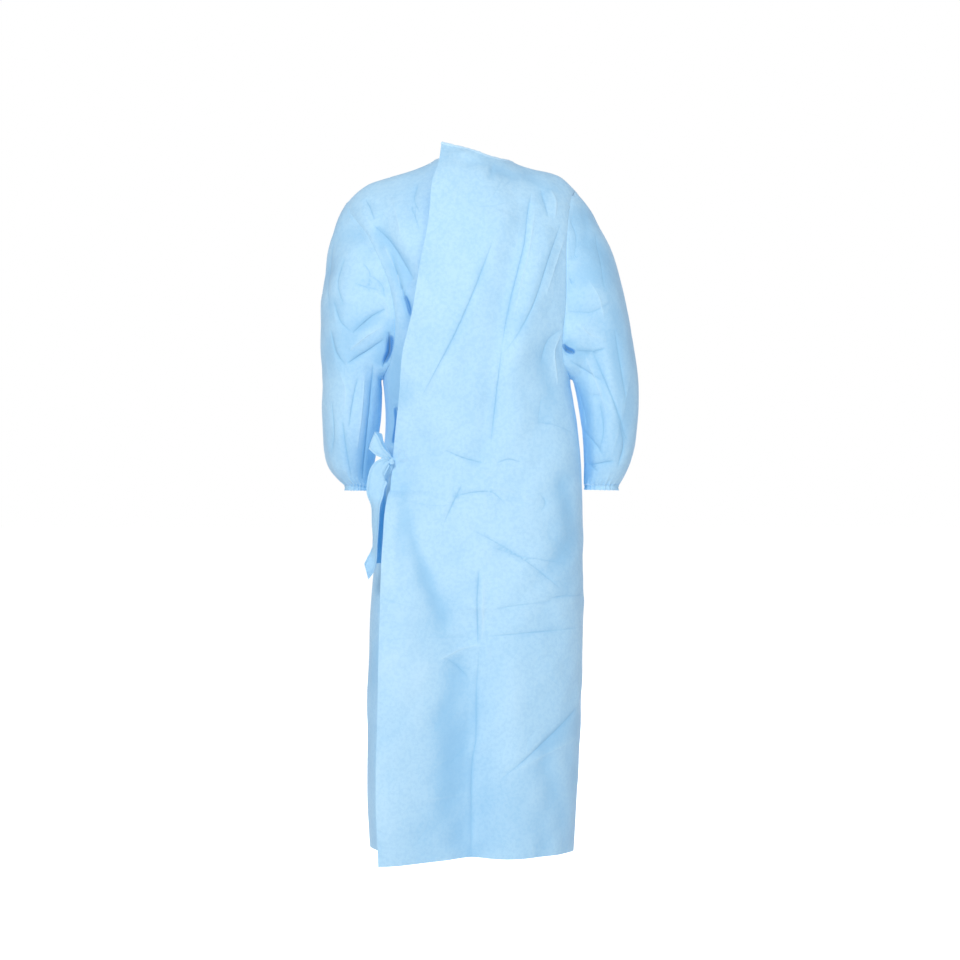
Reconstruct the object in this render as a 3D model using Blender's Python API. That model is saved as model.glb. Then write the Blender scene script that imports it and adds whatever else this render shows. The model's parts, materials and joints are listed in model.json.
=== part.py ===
"""A wrap-over surgical gown of light-blue nonwoven cloth, worn: an open, hollow form held up at the shoulders.

Units are metres. +X is the wearer's right, +Y is forward and +Z is up. The origin is where the
wearer's shoulders hold the gown: midway between the two points where shoulder seam and neckline meet.
Every cloth piece is a grid of points given a wall's thickness, with its folds as dents and ridges.
"""

import math
from collections import namedtuple

import bmesh
import bpy
import numpy as np

# Cloth and seams
CLOTH = 0.0015
BINDING_CLOTH = 0.0022
SEAM_GAP = 0.0005
SLEEVE_SEAM_GAP = 0.0020
CUFF_SEAM_GAP = 0.0010
BINDING_GAP = 0.0008
BINDING_WIDTH = 0.0080

# Body: how round a section is, and how far below the shoulder line it reaches its full depth
SQUARENESS = 2.3
BACK_ROUNDING = 0.18
FRONT_ROUNDING = 0.16
ARMPIT_Z = -0.44
HEM_Z = -1.346

# How far from a sewn edge the folds reach their full height, and over how many rows below the top edge
FOLD_FADE = 0.050
FOLD_TOP_ROWS = 4

# Neck and wrap
NECK_HALF_WIDTH = 0.076
NECK_CORNER_X = -0.062
RIGHT_SHOULDER_X = 0.199
LEFT_SHOULDER_X = -0.246
HIDDEN_EDGE_X = 0.050

# How many cells each piece is divided into
BODY_ROWS_BELOW = 14
BODY_ROWS_ABOVE = 18
FRONT_COLUMNS = 24
OUTER_COLUMNS = 24
UNDER_COLUMNS = 14
SLEEVE_RINGS = 14
ROW_SAMPLES = 400
# The share of the rows' spacing that is even; the rest bunches them at the armpit and the shoulder
EVEN_BELOW = 0.6
EVEN_ABOVE = 0.4
# How near a mark counts as on it
MARK_TOLERANCE = 1e-6
# The columns that end at the neck on each panel's top edge
WRAP_NECK_COLUMN = 10
FRONT_NECK_COLUMNS = (7, 16)
UNDER_NECK_COLUMN = 6
# The under panel is cut across into simpler solids: their names, and their lowest and highest rows
UNDER_PARTS = (
    ("back_under_skirt", 0, 5),
    ("back_under_waist", 5, 13),
    ("back_under_panel", 13, BODY_ROWS_BELOW + BODY_ROWS_ABOVE),
)

# The body's horizontal sections. Right and left are the side seams, or above the armpit the width the
# torso would have there; outer, under and front are depths; reach is the wrap panel's own half width.
Section = namedtuple("Section", "z right left outer under front reach")
SECTIONS = [
    Section(-1.360, 0.193, -0.201, 0.158, 0.122, 0.148, 0.36),
    Section(-1.200, 0.202, -0.208, 0.155, 0.122, 0.144, 0.36),
    Section(-1.070, 0.208, -0.207, 0.152, 0.121, 0.141, 0.36),
    Section(-0.870, 0.212, -0.199, 0.148, 0.119, 0.138, 0.34),
    Section(-0.700, 0.211, -0.186, 0.132, 0.106, 0.132, 0.29),
    Section(-0.600, 0.208, -0.176, 0.121, 0.099, 0.127, 0.25),
    Section(-0.520, 0.199, -0.172, 0.126, 0.107, 0.128, 0.25),
    Section(-0.440, 0.187, -0.177, 0.132, 0.117, 0.130, 0.24),
    Section(-0.300, 0.204, -0.197, 0.137, 0.125, 0.128, 0.24),
    Section(-0.200, 0.217, -0.230, 0.134, 0.122, 0.116, 0.26),
    Section(-0.100, 0.229, -0.262, 0.122, 0.107, 0.092, 0.28),
    Section(0.000, 0.236, -0.264, 0.108, 0.088, 0.068, 0.28),
    Section(0.050, 0.236, -0.264, 0.100, 0.080, 0.060, 0.28),
]

# The line where front and back meet over the shoulders, carried on as a hump inside the neck
Ridge = namedtuple("Ridge", "x z")
SHOULDER_LINE = [
    Ridge(-0.264, -0.122),
    Ridge(-0.246, -0.095),
    Ridge(-0.222, -0.073),
    Ridge(-0.199, -0.059),
    Ridge(-0.164, -0.047),
    Ridge(-0.129, -0.037),
    Ridge(-0.105, -0.028),
    Ridge(-0.076, -0.015),
    Ridge(-0.040, 0.014),
    Ridge(0.000, 0.032),
    Ridge(0.040, 0.006),
    Ridge(0.076, -0.019),
    Ridge(0.098, -0.028),
    Ridge(0.144, -0.038),
    Ridge(0.168, -0.048),
    Ridge(0.191, -0.067),
    Ridge(0.203, -0.079),
    Ridge(0.236, -0.112),
]
# The wrap panel stands up past the neck on the wearer's left instead of going down to the shoulder
WRAP_LINE = [Ridge(-0.300, 0.034), Ridge(-0.070, 0.040)] + [r for r in SHOULDER_LINE if r.x >= 0.0]

# Necklines, from left to right
BACK_NECKLINE = [
    Ridge(-0.062, 0.004),
    Ridge(-0.036, -0.002),
    Ridge(-0.004, -0.008),
    Ridge(0.017, -0.013),
    Ridge(0.036, -0.018),
    Ridge(0.055, -0.020),
    Ridge(0.076, -0.019),
]
UNDER_NECKLINE = [
    Ridge(-0.076, -0.015),
    Ridge(-0.040, -0.021),
    Ridge(0.000, -0.022),
    Ridge(0.050, -0.028),
]
FRONT_NECKLINE = [
    Ridge(-0.076, -0.015),
    Ridge(-0.045, -0.060),
    Ridge(0.000, -0.082),
    Ridge(0.045, -0.062),
    Ridge(0.076, -0.019),
]

# Armholes: share is the way up from armpit to shoulder, width the share of the section's half width
Armhole = namedtuple("Armhole", "share width")
RIGHT_ARMHOLE = [
    Armhole(0.00, 1.000),
    Armhole(0.07, 0.915),
    Armhole(0.18, 0.880),
    Armhole(0.37, 0.865),
    Armhole(0.70, 0.820),
    Armhole(0.88, 0.825),
    Armhole(1.00, 0.860),
]
LEFT_ARMHOLE = [
    Armhole(0.00, 1.000),
    Armhole(0.07, 0.895),
    Armhole(0.15, 0.840),
    Armhole(0.30, 0.800),
    Armhole(0.42, 0.808),
    Armhole(0.55, 0.835),
    Armhole(0.70, 0.870),
    Armhole(0.85, 0.915),
    Armhole(1.00, 0.932),
]

# Free edge of the wrap panel, from the neck corner to the hem corner
Edge = namedtuple("Edge", "z x")
FREE_EDGE = [
    Edge(-1.360, -0.167),
    Edge(-1.193, -0.172),
    Edge(-1.067, -0.170),
    Edge(-0.872, -0.167),
    Edge(-0.700, -0.163),
    Edge(-0.634, -0.158),
    Edge(-0.598, -0.154),
    Edge(-0.570, -0.151),
    Edge(-0.479, -0.142),
    Edge(-0.409, -0.136),
    Edge(-0.357, -0.125),
    Edge(-0.310, -0.114),
    Edge(-0.240, -0.103),
    Edge(-0.143, -0.085),
    Edge(-0.074, -0.079),
    Edge(-0.031, -0.067),
    Edge(0.004, -0.062),
]

# How far each panel's hem hangs below the hem line, by the share of columns from its right end
Hang = namedtuple("Hang", "share drop")
WRAP_HEM = [Hang(0.0, 0.013), Hang(0.15, 0.005), Hang(0.4, 0.000), Hang(0.6, 0.000), Hang(1.0, 0.007)]
UNDER_HEM = [Hang(0.0, 0.000), Hang(1.0, 0.004)]
FRONT_HEM = [Hang(0.0, 0.013), Hang(0.3, 0.000), Hang(0.7, 0.000), Hang(1.0, 0.004)]

# Folds, as soft ridges (height above 0) or troughs (below 0) along a line seen from the back or front
Fold = namedtuple("Fold", "top_x top_z foot_x foot_z bow width height")
WRAP_FOLDS = [
    Fold(-0.150, -0.660, -0.190, -2.000, 0.000, 0.085, 0.052),
    Fold(-0.002, -0.880, -0.008, -2.100, 0.000, 0.040, -0.026),
    Fold(0.075, -0.820, 0.070, -2.100, 0.000, 0.050, 0.008),
    Fold(0.105, -0.110, 0.020, -0.620, 0.012, 0.026, -0.010),
    Fold(0.055, -0.130, -0.085, -0.560, 0.010, 0.028, 0.007),
    Fold(0.150, -0.160, 0.055, -0.460, 0.000, 0.030, 0.008),
    Fold(-0.140, -0.600, -0.020, -0.960, 0.012, 0.034, -0.009),
    Fold(0.165, -0.350, 0.110, -0.600, 0.006, 0.036, -0.007),
]
UNDER_FOLDS = [
    Fold(-0.190, -0.130, -0.090, -0.300, 0.010, 0.026, -0.008),
    Fold(-0.150, -0.200, -0.120, -0.420, 0.000, 0.024, -0.008),
    Fold(-0.130, -0.180, -0.160, -0.480, 0.000, 0.024, 0.006),
]
FRONT_FOLDS = [
    Fold(-0.150, -0.150, -0.030, -0.560, 0.012, 0.030, -0.008),
    Fold(0.150, -0.130, 0.060, -0.600, -0.010, 0.030, -0.008),
    Fold(0.090, -0.600, 0.110, -2.100, 0.000, 0.045, 0.016),
    Fold(-0.080, -0.620, -0.105, -2.100, 0.000, 0.048, 0.018),
    Fold(0.010, -0.560, 0.004, -2.100, 0.000, 0.040, -0.014),
    Fold(0.160, -0.520, 0.170, -2.000, 0.000, 0.034, -0.010),
    Fold(-0.160, -0.540, -0.170, -2.000, 0.000, 0.034, -0.010),
]

# Sleeve rings: outer and inner are the ring's far and near points from the body, depth is half its
# extent front to back, forward moves its centre, gather is how deep the gathers are
Ring = namedtuple("Ring", "outer_x outer_z inner_x inner_z depth forward gather")
RIGHT_SLEEVE = [
    Ring(0.240, -0.136, 0.1925, -0.4425, 0.086, 0.002, 0.0),
    Ring(0.274, -0.212, 0.1955, -0.4480, 0.082, 0.004, 0.0),
    Ring(0.297, -0.300, 0.1985, -0.4600, 0.078, 0.007, 0.0),
    Ring(0.312, -0.375, 0.2030, -0.4800, 0.075, 0.010, 0.0),
    Ring(0.320, -0.440, 0.2075, -0.5100, 0.073, 0.014, 0.0),
    Ring(0.322, -0.500, 0.2120, -0.5450, 0.071, 0.018, 0.0),
    Ring(0.318, -0.552, 0.2155, -0.5800, 0.066, 0.022, 0.0),
    Ring(0.308, -0.600, 0.2170, -0.6120, 0.056, 0.025, 0.001),
    Ring(0.294, -0.632, 0.2170, -0.6340, 0.045, 0.027, 0.002),
    Ring(0.284, -0.647, 0.2165, -0.6460, 0.039, 0.028, 0.002),
]
LEFT_SLEEVE = [
    Ring(-0.271, -0.146, -0.1835, -0.4430, 0.086, 0.002, 0.0),
    Ring(-0.289, -0.225, -0.1830, -0.4500, 0.083, 0.004, 0.0),
    Ring(-0.299, -0.305, -0.1815, -0.4620, 0.080, 0.007, 0.0),
    Ring(-0.298, -0.385, -0.1810, -0.4850, 0.077, 0.010, 0.0),
    Ring(-0.296, -0.455, -0.1820, -0.5150, 0.075, 0.014, 0.0),
    Ring(-0.297, -0.515, -0.1860, -0.5500, 0.073, 0.018, 0.0),
    Ring(-0.295, -0.566, -0.1920, -0.5870, 0.068, 0.022, 0.0),
    Ring(-0.287, -0.607, -0.1985, -0.6180, 0.057, 0.025, 0.001),
    Ring(-0.270, -0.633, -0.2035, -0.6380, 0.045, 0.027, 0.002),
    Ring(-0.254, -0.647, -0.2050, -0.6480, 0.038, 0.028, 0.002),
]
SLEEVE_BLEND = 0.45
SLEEVE_SEAM_BLEND = 0.20
CUFF_HEIGHT = 0.010
# How far in each ring of an elastic hem is drawn: its share of the way down, its share of the width
CUFF_DRAW = ((0.0, 1.0), (0.5, 0.975), (1.0, 0.965))
CUFF_GATHERS = 9
# The radius at which a gather is as deep as its table says
GATHER_RADIUS = 0.03

# Waist ties, knotted in a bow at the wearer's left
KNOT = (-0.1560, -0.1050, -0.6025)
KNOT_SIZE = (0.0095, 0.0075, 0.0105)
KNOT_GAP = 0.0004
# A tape's sections: its middle, the direction of its width, and its width. An end marked at the knot
# is moved along its line to the knot until it almost touches it.
Tape = namedtuple("Tape", "x y z across_x across_y across_z width")
UPPER_LOOP = [
    Tape(-0.1668, -0.1080, -0.5920, 0.70, 0.00, 0.70, 0.013),
    Tape(-0.1740, -0.1130, -0.5835, 0.68, 0.00, 0.73, 0.020),
    Tape(-0.1825, -0.1165, -0.5745, 0.65, 0.00, 0.76, 0.026),
    Tape(-0.1910, -0.1170, -0.5630, 0.45, 0.00, 0.89, 0.030),
    Tape(-0.1950, -0.1120, -0.5590, 0.37, 0.00, 0.93, 0.031),
    Tape(-0.1910, -0.1070, -0.5570, 0.40, 0.00, 0.92, 0.030),
    Tape(-0.1820, -0.1040, -0.5560, 0.55, 0.00, 0.84, 0.027),
    Tape(-0.1740, -0.1020, -0.5640, 0.80, 0.00, 0.60, 0.021),
    Tape(-0.1690, -0.1030, -0.5800, 0.95, 0.00, 0.30, 0.013),
]
LONG_TAIL = [
    Tape(-0.1675, -0.1100, -0.6060, 0.10, 0.00, 1.00, 0.017),
    Tape(-0.1790, -0.1160, -0.6080, 0.05, 0.00, 1.00, 0.026),
    Tape(-0.1900, -0.1190, -0.6180, -0.55, 0.00, 0.84, 0.031),
    Tape(-0.1935, -0.1190, -0.6380, -0.97, 0.05, 0.22, 0.031),
    Tape(-0.1930, -0.1180, -0.6640, -0.98, 0.20, 0.00, 0.029),
    Tape(-0.1880, -0.1170, -0.6930, -0.75, 0.66, 0.00, 0.021),
    Tape(-0.1860, -0.1160, -0.7300, -0.50, 0.86, 0.00, 0.022),
    Tape(-0.1860, -0.1150, -0.7630, -0.60, 0.80, 0.00, 0.022),
    Tape(-0.1905, -0.1155, -0.7880, -0.90, 0.30, -0.30, 0.024),
    Tape(-0.1980, -0.1170, -0.8080, -0.80, 0.10, -0.60, 0.024),
]
SHORT_TAIL = [
    Tape(-0.1600, -0.0985, -0.6180, 0.90, 0.30, 0.00, 0.010),
    Tape(-0.1700, -0.0950, -0.6350, 0.80, 0.60, 0.10, 0.020),
    Tape(-0.1780, -0.0940, -0.6620, 0.90, 0.44, 0.00, 0.024),
    Tape(-0.1790, -0.0940, -0.7000, 0.88, 0.47, 0.00, 0.024),
    Tape(-0.1800, -0.0950, -0.7400, 0.90, 0.44, 0.00, 0.025),
    Tape(-0.1810, -0.0960, -0.7750, 0.94, 0.34, 0.00, 0.025),
    Tape(-0.1810, -0.0970, -0.7960, 0.94, 0.34, 0.00, 0.025),
]
SIDE_TIE = [
    Tape(-0.1792, 0.0120, -0.6020, 0.00, 0.00, 1.00, 0.028),
    Tape(-0.1794, -0.0200, -0.6010, 0.00, 0.00, 1.00, 0.028),
    Tape(-0.1755, -0.0520, -0.6000, 0.00, 0.00, 1.00, 0.026),
    Tape(-0.1710, -0.0800, -0.6010, 0.00, 0.00, 1.00, 0.020),
    Tape(-0.1650, -0.0990, -0.6020, 0.00, 0.00, 1.00, 0.013),
]
TAPE_STEPS = 2

# Finishes: sRGB colour, roughness
Finish = namedtuple("Finish", "red green blue roughness")
GOWN_CLOTH = Finish(0.64, 0.82, 0.95, 0.62)
TIE_CLOTH = Finish(0.62, 0.80, 0.94, 0.62)
BINDING = Finish(0.80, 0.89, 0.96, 0.66)
ELASTIC_HEM = Finish(0.68, 0.83, 0.94, 0.66)


def smooth(rows, value, at):
    """Reads a table's named column at given values of its first column, as one smooth monotone curve."""
    rows = sorted(rows)
    key = rows[0]._fields[0]
    known = np.array([getattr(row, key) for row in rows])
    heights = np.array([getattr(row, value) for row in rows])
    steps = np.diff(known)
    slopes = np.diff(heights) / steps
    tangents = np.zeros(len(rows))
    same = slopes[:-1] * slopes[1:] > 0
    mean = 2 * slopes[:-1] * slopes[1:] / np.where(same, slopes[:-1] + slopes[1:], 1.0)
    tangents[1:-1] = np.where(same, mean, 0.0)
    tangents[0], tangents[-1] = slopes[0], slopes[-1]
    at = np.clip(at, known[0], known[-1])
    i = np.clip(np.searchsorted(known, at, side="right") - 1, 0, len(steps) - 1)
    t = (at - known[i]) / steps[i]
    rise = steps[i] * (tangents[i] * t * (1 - t) ** 2 - tangents[i + 1] * t**2 * (1 - t))
    return heights[i] * (1 - t) ** 2 * (1 + 2 * t) + heights[i + 1] * t**2 * (3 - 2 * t) + rise


def fold_height(folds, x, z):
    """How far the cloth stands off its plain form at points seen from the front or back."""
    total = np.zeros(np.shape(x))
    for fold in folds:
        run_x, run_z = fold.foot_x - fold.top_x, fold.foot_z - fold.top_z
        length = math.hypot(run_x, run_z)
        along = ((x - fold.top_x) * run_x + (z - fold.top_z) * run_z) / length**2
        side = ((x - fold.top_x) * run_z - (z - fold.top_z) * run_x) / length
        inside = np.clip(along, 0, 1)
        fade = np.sqrt(4 * inside * (1 - inside))
        side = side - fold.bow * 4 * inside * (1 - inside)
        total += fold.height * fade * np.exp(-((side / fold.width) ** 2))
    return total


def section_half(z, x, wrap):
    """Half width of the section at height z on the side of x, and the middle it is measured from."""
    right, left = smooth(SECTIONS, "right", z), smooth(SECTIONS, "left", z)
    middle = (right + left) / 2
    left_half = smooth(SECTIONS, "reach", z) if wrap else middle - left
    return np.where(x >= middle, right - middle, left_half), middle


def depth_share(x, z, wrap=False):
    """How much of its full depth the section has at x: 1 in the middle, 0 at the side."""
    half, middle = section_half(z, x, wrap)
    across = np.clip(np.abs(x - middle) / half, 0, 1)
    return (1 - across**SQUARENESS) ** (1 / SQUARENESS)


def rounded(drop, rounding):
    """How much of its depth the cloth has reached at a drop below the shoulder line."""
    left = 1 - np.clip(drop / rounding, 0, 1)
    return np.sqrt(1 - left**2)


def wrap_y(x, z):
    """The outer back panel's depth."""
    full = smooth(SECTIONS, "outer", z) * depth_share(x, z, wrap=True)
    return -full * rounded(smooth(WRAP_LINE, "z", x) - z, BACK_ROUNDING)


def under_y(x, z):
    """The under back panel's depth."""
    full = smooth(SECTIONS, "under", z) * depth_share(x, z)
    return -full * rounded(smooth(SHOULDER_LINE, "z", x) - z, BACK_ROUNDING)


def front_y(x, z):
    """The front panel's depth."""
    full = smooth(SECTIONS, "front", z) * depth_share(x, z)
    return full * rounded(smooth(SHOULDER_LINE, "z", x) - z, FRONT_ROUNDING)


def top_z(neckline, x):
    """Height of a panel's top edge: the shoulder line outside the neck, its neckline inside it."""
    low, high = neckline[0].x, neckline[-1].x
    inside = (x > low - MARK_TOLERANCE) & (x < high + MARK_TOLERANCE)
    return np.where(inside, smooth(neckline, "z", x), smooth(SHOULDER_LINE, "z", x))


def wrap_top(x):
    """The wrap panel's top edge, level beyond its corner so that its free edge meets it."""
    return np.where(x < NECK_CORNER_X + MARK_TOLERANCE, BACK_NECKLINE[0].z, top_z(BACK_NECKLINE, x))


def armhole_x(share, right):
    """How far out the armhole lies at a share of the way up from armpit to shoulder."""
    shoulder = RIGHT_SHOULDER_X if right else LEFT_SHOULDER_X
    z = ARMPIT_Z + (smooth(SHOULDER_LINE, "z", shoulder) - ARMPIT_Z) * share
    side = smooth(SECTIONS, "right" if right else "left", z)
    middle = (smooth(SECTIONS, "right", z) + smooth(SECTIONS, "left", z)) / 2
    return middle + (side - middle) * smooth(RIGHT_ARMHOLE if right else LEFT_ARMHOLE, "width", share)


def heights_below():
    """Heights of the body's rows below the armpit, from the hem up, closer towards the armpit."""
    steps = np.linspace(1, 0, BODY_ROWS_BELOW + 1)[:-1]
    return ARMPIT_Z + (HEM_Z - ARMPIT_Z) * (EVEN_BELOW * steps + (1 - EVEN_BELOW) * steps**2)


def rise_shares():
    """Shares of the way from armpit to shoulder at which the body's rows lie, closer at both ends."""
    steps = np.linspace(0, 1, BODY_ROWS_ABOVE + 1)
    return EVEN_ABOVE * steps + (1 - EVEN_ABOVE) * (1 - np.cos(math.pi * steps)) / 2


def along_polyline(points, shares):
    """Points at given shares of a polyline's length."""
    lengths = np.concatenate([[0], np.cumsum(np.linalg.norm(np.diff(points, axis=0), axis=1))])
    wanted = np.asarray(shares) * lengths[-1]
    return np.stack([np.interp(wanted, lengths, points[:, i]) for i in range(3)], axis=1)


def row_of_points(x_right, x_left, height, depth, wrap):
    """One row of a panel from its right end to its left end, sampled finely."""
    z_right = height(np.array([x_right]))[0]
    half_right, middle = section_half(z_right, x_right, wrap)
    half_left, middle_left = section_half(height(np.array([x_left]))[0], x_left, wrap)
    share_right = np.clip((x_right - middle) / half_right, -1, 1)
    share_left = np.clip((x_left - middle_left) / half_left, -1, 1)
    power = SQUARENESS / 2
    angle_right = math.acos(np.sign(share_right) * abs(share_right) ** power)
    angle_left = math.acos(np.sign(share_left) * abs(share_left) ** power)
    cosine = np.cos(np.linspace(angle_right, angle_left, ROW_SAMPLES))
    share = np.sign(cosine) * np.abs(cosine) ** (1 / power)
    x = middle + share * np.where(share >= 0, half_right, half_left)
    x[0], x[-1] = x_right, x_left
    z = height(x)
    return np.stack([x, depth(x, z), z], axis=1)


def panel(columns, ends, top, depth, marks, hem, wrap=False):
    """A body panel as rows of points from hem to top edge, each from the wearer's right to left.

    ends(share, z) gives a row's right and left x; top(x) is the top edge; marks are x values on the
    top edge that fall on a column, with the share of columns before them.
    """
    even = np.linspace(0, 1, columns + 1)
    rows = []
    for z in heights_below():
        x_right, x_left = ends(0.0, z)
        fine = row_of_points(x_right, x_left, lambda x, z=z: np.full(np.shape(x), z), depth, wrap)
        rows.append(along_polyline(fine, even))
    for share in rise_shares():
        x_right, x_left = ends(share, None)

        def height(x, share=share):
            return ARMPIT_Z + (top(x) - ARMPIT_Z) * share

        fine = row_of_points(x_right, x_left, height, depth, wrap)
        lengths = np.concatenate([[0], np.cumsum(np.linalg.norm(np.diff(fine, axis=0), axis=1))])
        order = np.argsort(fine[:, 0])
        at_mark = [np.interp(x, fine[order, 0], lengths[order]) / lengths[-1] for _, x in marks]
        place = np.interp(even, [0, *[at for at, _ in marks], 1], [0, *at_mark, 1])
        rows.append(along_polyline(fine, even + (place - even) * share**2))
    points = np.array(rows)
    for share, x in marks:
        points[-1, round(share * columns)] = (x, 0.0, top(np.array([x]))[0])
    drop = smooth(hem, "drop", even)
    low = np.clip(1 - (points[..., 2] - HEM_Z) / (ARMPIT_Z - HEM_Z), 0, 1)
    points[..., 2] -= drop * low
    return points


def side_ends(right, left):
    """A row's ends for a panel: 'side' follows side seam and armhole, a table is a free edge."""

    def end(kind, share, z, is_right):
        if kind == "side":
            column = "right" if is_right else "left"
            return float(smooth(SECTIONS, column, z)) if z is not None else float(armhole_x(share, is_right))
        if z is None:
            z = ARMPIT_Z + (kind[-1].z - ARMPIT_Z) * share
        return float(smooth(kind, "x", z))

    return lambda share, z: (end(right, share, z, True), end(left, share, z, False))


def surface_normals(points, closed=False):
    """Unit normals of a grid of points, away from the body, by the difference of each point's neighbours."""
    if closed:
        across = np.roll(points, -1, axis=1) - np.roll(points, 1, axis=1)
    else:
        across = np.gradient(points, axis=1)
    along = np.gradient(points, axis=0)
    normal = np.cross(along, across)
    return normal / np.maximum(np.linalg.norm(normal, axis=2, keepdims=True), 1e-12)


def folded(points, folds, seam_sides):
    """Moves a panel's points out by its folds, which die away at sewn edges."""
    steps = np.linalg.norm(np.diff(points, axis=1), axis=2)
    from_first = np.concatenate([np.zeros((len(points), 1)), np.cumsum(steps, axis=1)], axis=1)
    from_last = from_first[:, -1:] - from_first
    away = np.ones(from_first.shape)
    if "first" in seam_sides:
        away *= np.clip(from_first / FOLD_FADE, 0, 1)
    if "last" in seam_sides:
        away *= np.clip(from_last / FOLD_FADE, 0, 1)
    rows = points.shape[0]
    from_top = np.clip((rows - 1 - np.arange(rows)) / FOLD_TOP_ROWS, 0, 1)
    height = fold_height(folds, points[..., 0], points[..., 2]) * away * from_top[:, None]
    return points + surface_normals(points) * height[..., None]


def seam_shifted(points, forward):
    """Moves a panel by half the seam gap, so that front and back don't touch."""
    moved = points.copy()
    moved[..., 1] += math.copysign(SEAM_GAP / 2, forward)
    return moved


def build_body():
    """The front, the wrap panel and the under panel, as grids of points."""
    neck = NECK_HALF_WIDTH
    front = panel(
        FRONT_COLUMNS,
        side_ends("side", "side"),
        lambda x: top_z(FRONT_NECKLINE, x),
        front_y,
        [(FRONT_NECK_COLUMNS[0] / FRONT_COLUMNS, neck), (FRONT_NECK_COLUMNS[1] / FRONT_COLUMNS, -neck)],
        FRONT_HEM,
    )
    wrap = panel(
        OUTER_COLUMNS,
        side_ends("side", sorted(FREE_EDGE)),
        wrap_top,
        wrap_y,
        [(WRAP_NECK_COLUMN / OUTER_COLUMNS, neck)],
        WRAP_HEM,
        wrap=True,
    )
    hidden_edge = [Edge(HEM_Z - 0.01, HIDDEN_EDGE_X), Edge(UNDER_NECKLINE[-1].z, HIDDEN_EDGE_X)]
    under = panel(
        UNDER_COLUMNS,
        side_ends(hidden_edge, "side"),
        lambda x: top_z(UNDER_NECKLINE, x),
        under_y,
        [(UNDER_NECK_COLUMN / UNDER_COLUMNS, -neck)],
        UNDER_HEM,
    )
    return (
        seam_shifted(folded(front[:, ::-1], FRONT_FOLDS, ("first", "last")), 1.0),
        seam_shifted(folded(wrap, WRAP_FOLDS, ("first",)), -1.0),
        seam_shifted(folded(under, UNDER_FOLDS, ("last",)), -1.0),
    )


def under_parts(under):
    """The under panel's solids by name, one above the other and a seam gap apart."""
    parts = []
    for name, low, high in UNDER_PARTS:
        part = under[low : high + 1].copy()
        if low > 0:
            part[0, :, 2] += SEAM_GAP / 2
        if high < len(under) - 1:
            part[-1, :, 2] -= SEAM_GAP / 2
        parts.append((name, part))
    return parts


def armhole_loop(front, back, right):
    """The armhole as a loop of points: down its back edge from shoulder to armpit, then up its front."""
    first_row = BODY_ROWS_BELOW
    front_column = front[first_row:, -1 if right else 0]
    back_column = back[first_row:, 0 if right else -1]
    return np.concatenate([back_column[::-1], front_column[1:-1]])


def between_rings(rings, value, steps):
    """A ring table's column at even steps from its first ring to its last."""
    along = np.linspace(0, len(rings) - 1, len(rings))
    Step = namedtuple("Step", "at value")
    return smooth([Step(a, getattr(r, value)) for a, r in zip(along, rings)], "value", steps)


def build_sleeve(loop, table, right):
    """A sleeve as rings of points: the armhole's own shape first, turning into even rings below."""
    outward = 1.0 if right else -1.0
    loop = loop + np.array([outward * SLEEVE_SEAM_GAP, 0, 0])
    count = len(loop)
    low = count // 2
    first = Ring(loop[0, 0], loop[0, 2], loop[low, 0], loop[low, 2], 0, 0, 0)
    axis = np.array([first.outer_x - first.inner_x, 0, first.outer_z - first.inner_z])
    reach = np.linalg.norm(axis) / 2
    unit = axis / (2 * reach)
    side = np.array([-unit[2], 0, unit[0]])
    centre = (loop[0] + loop[low]) / 2
    offset = loop - centre
    own_along, own_out = offset @ unit / reach, offset @ side
    own_depth = np.abs(loop[:, 1]).max()
    turn = np.arange(count) / count * 2 * math.pi
    rings = [first._replace(depth=own_depth)] + table
    places = np.linspace(0, len(rings) - 1, SLEEVE_RINGS + 1)
    grid = [loop]
    for place in places[1:]:
        here = Ring(*[float(between_rings(rings, field, np.array(place))) for field in Ring._fields])
        keep, keep_out = (
            fade**2 * (3 - 2 * fade)
            for fade in (max(0, 1 - place / (len(rings) - 1) / span) for span in (SLEEVE_BLEND, SLEEVE_SEAM_BLEND))
        )
        axis = np.array([here.outer_x - here.inner_x, 0, here.outer_z - here.inner_z]) / 2
        middle = np.array([(here.outer_x + here.inner_x) / 2, here.forward, (here.outer_z + here.inner_z) / 2])
        unit = axis / np.linalg.norm(axis)
        side = np.array([-unit[2], 0, unit[0]])
        along = keep * own_along + (1 - keep) * np.cos(turn)
        across = keep * loop[:, 1] / own_depth + (1 - keep) * -np.sin(turn)
        swell = 1 + here.gather / GATHER_RADIUS * np.cos(CUFF_GATHERS * turn)
        ring = middle + np.outer(along * swell, axis) + np.outer(own_out * keep_out, side)
        ring[:, 1] = middle[1] + across * here.depth * swell
        grid.append(ring)
    return np.array(grid)


def build_cuff(sleeve):
    """The elastic hem: a short band hanging from the sleeve's last ring, drawn in a little."""
    last = sleeve[-1]
    middle = last.mean(axis=0)
    top = last - np.array([0, 0, CUFF_SEAM_GAP])
    rings = []
    for share, drawn in CUFF_DRAW:
        ring = middle + (last - middle) * np.array([drawn, drawn, 1.0])
        ring[:, 2] = top[:, 2] - CUFF_HEIGHT * share
        rings.append(ring)
    return np.array(rings)


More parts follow.
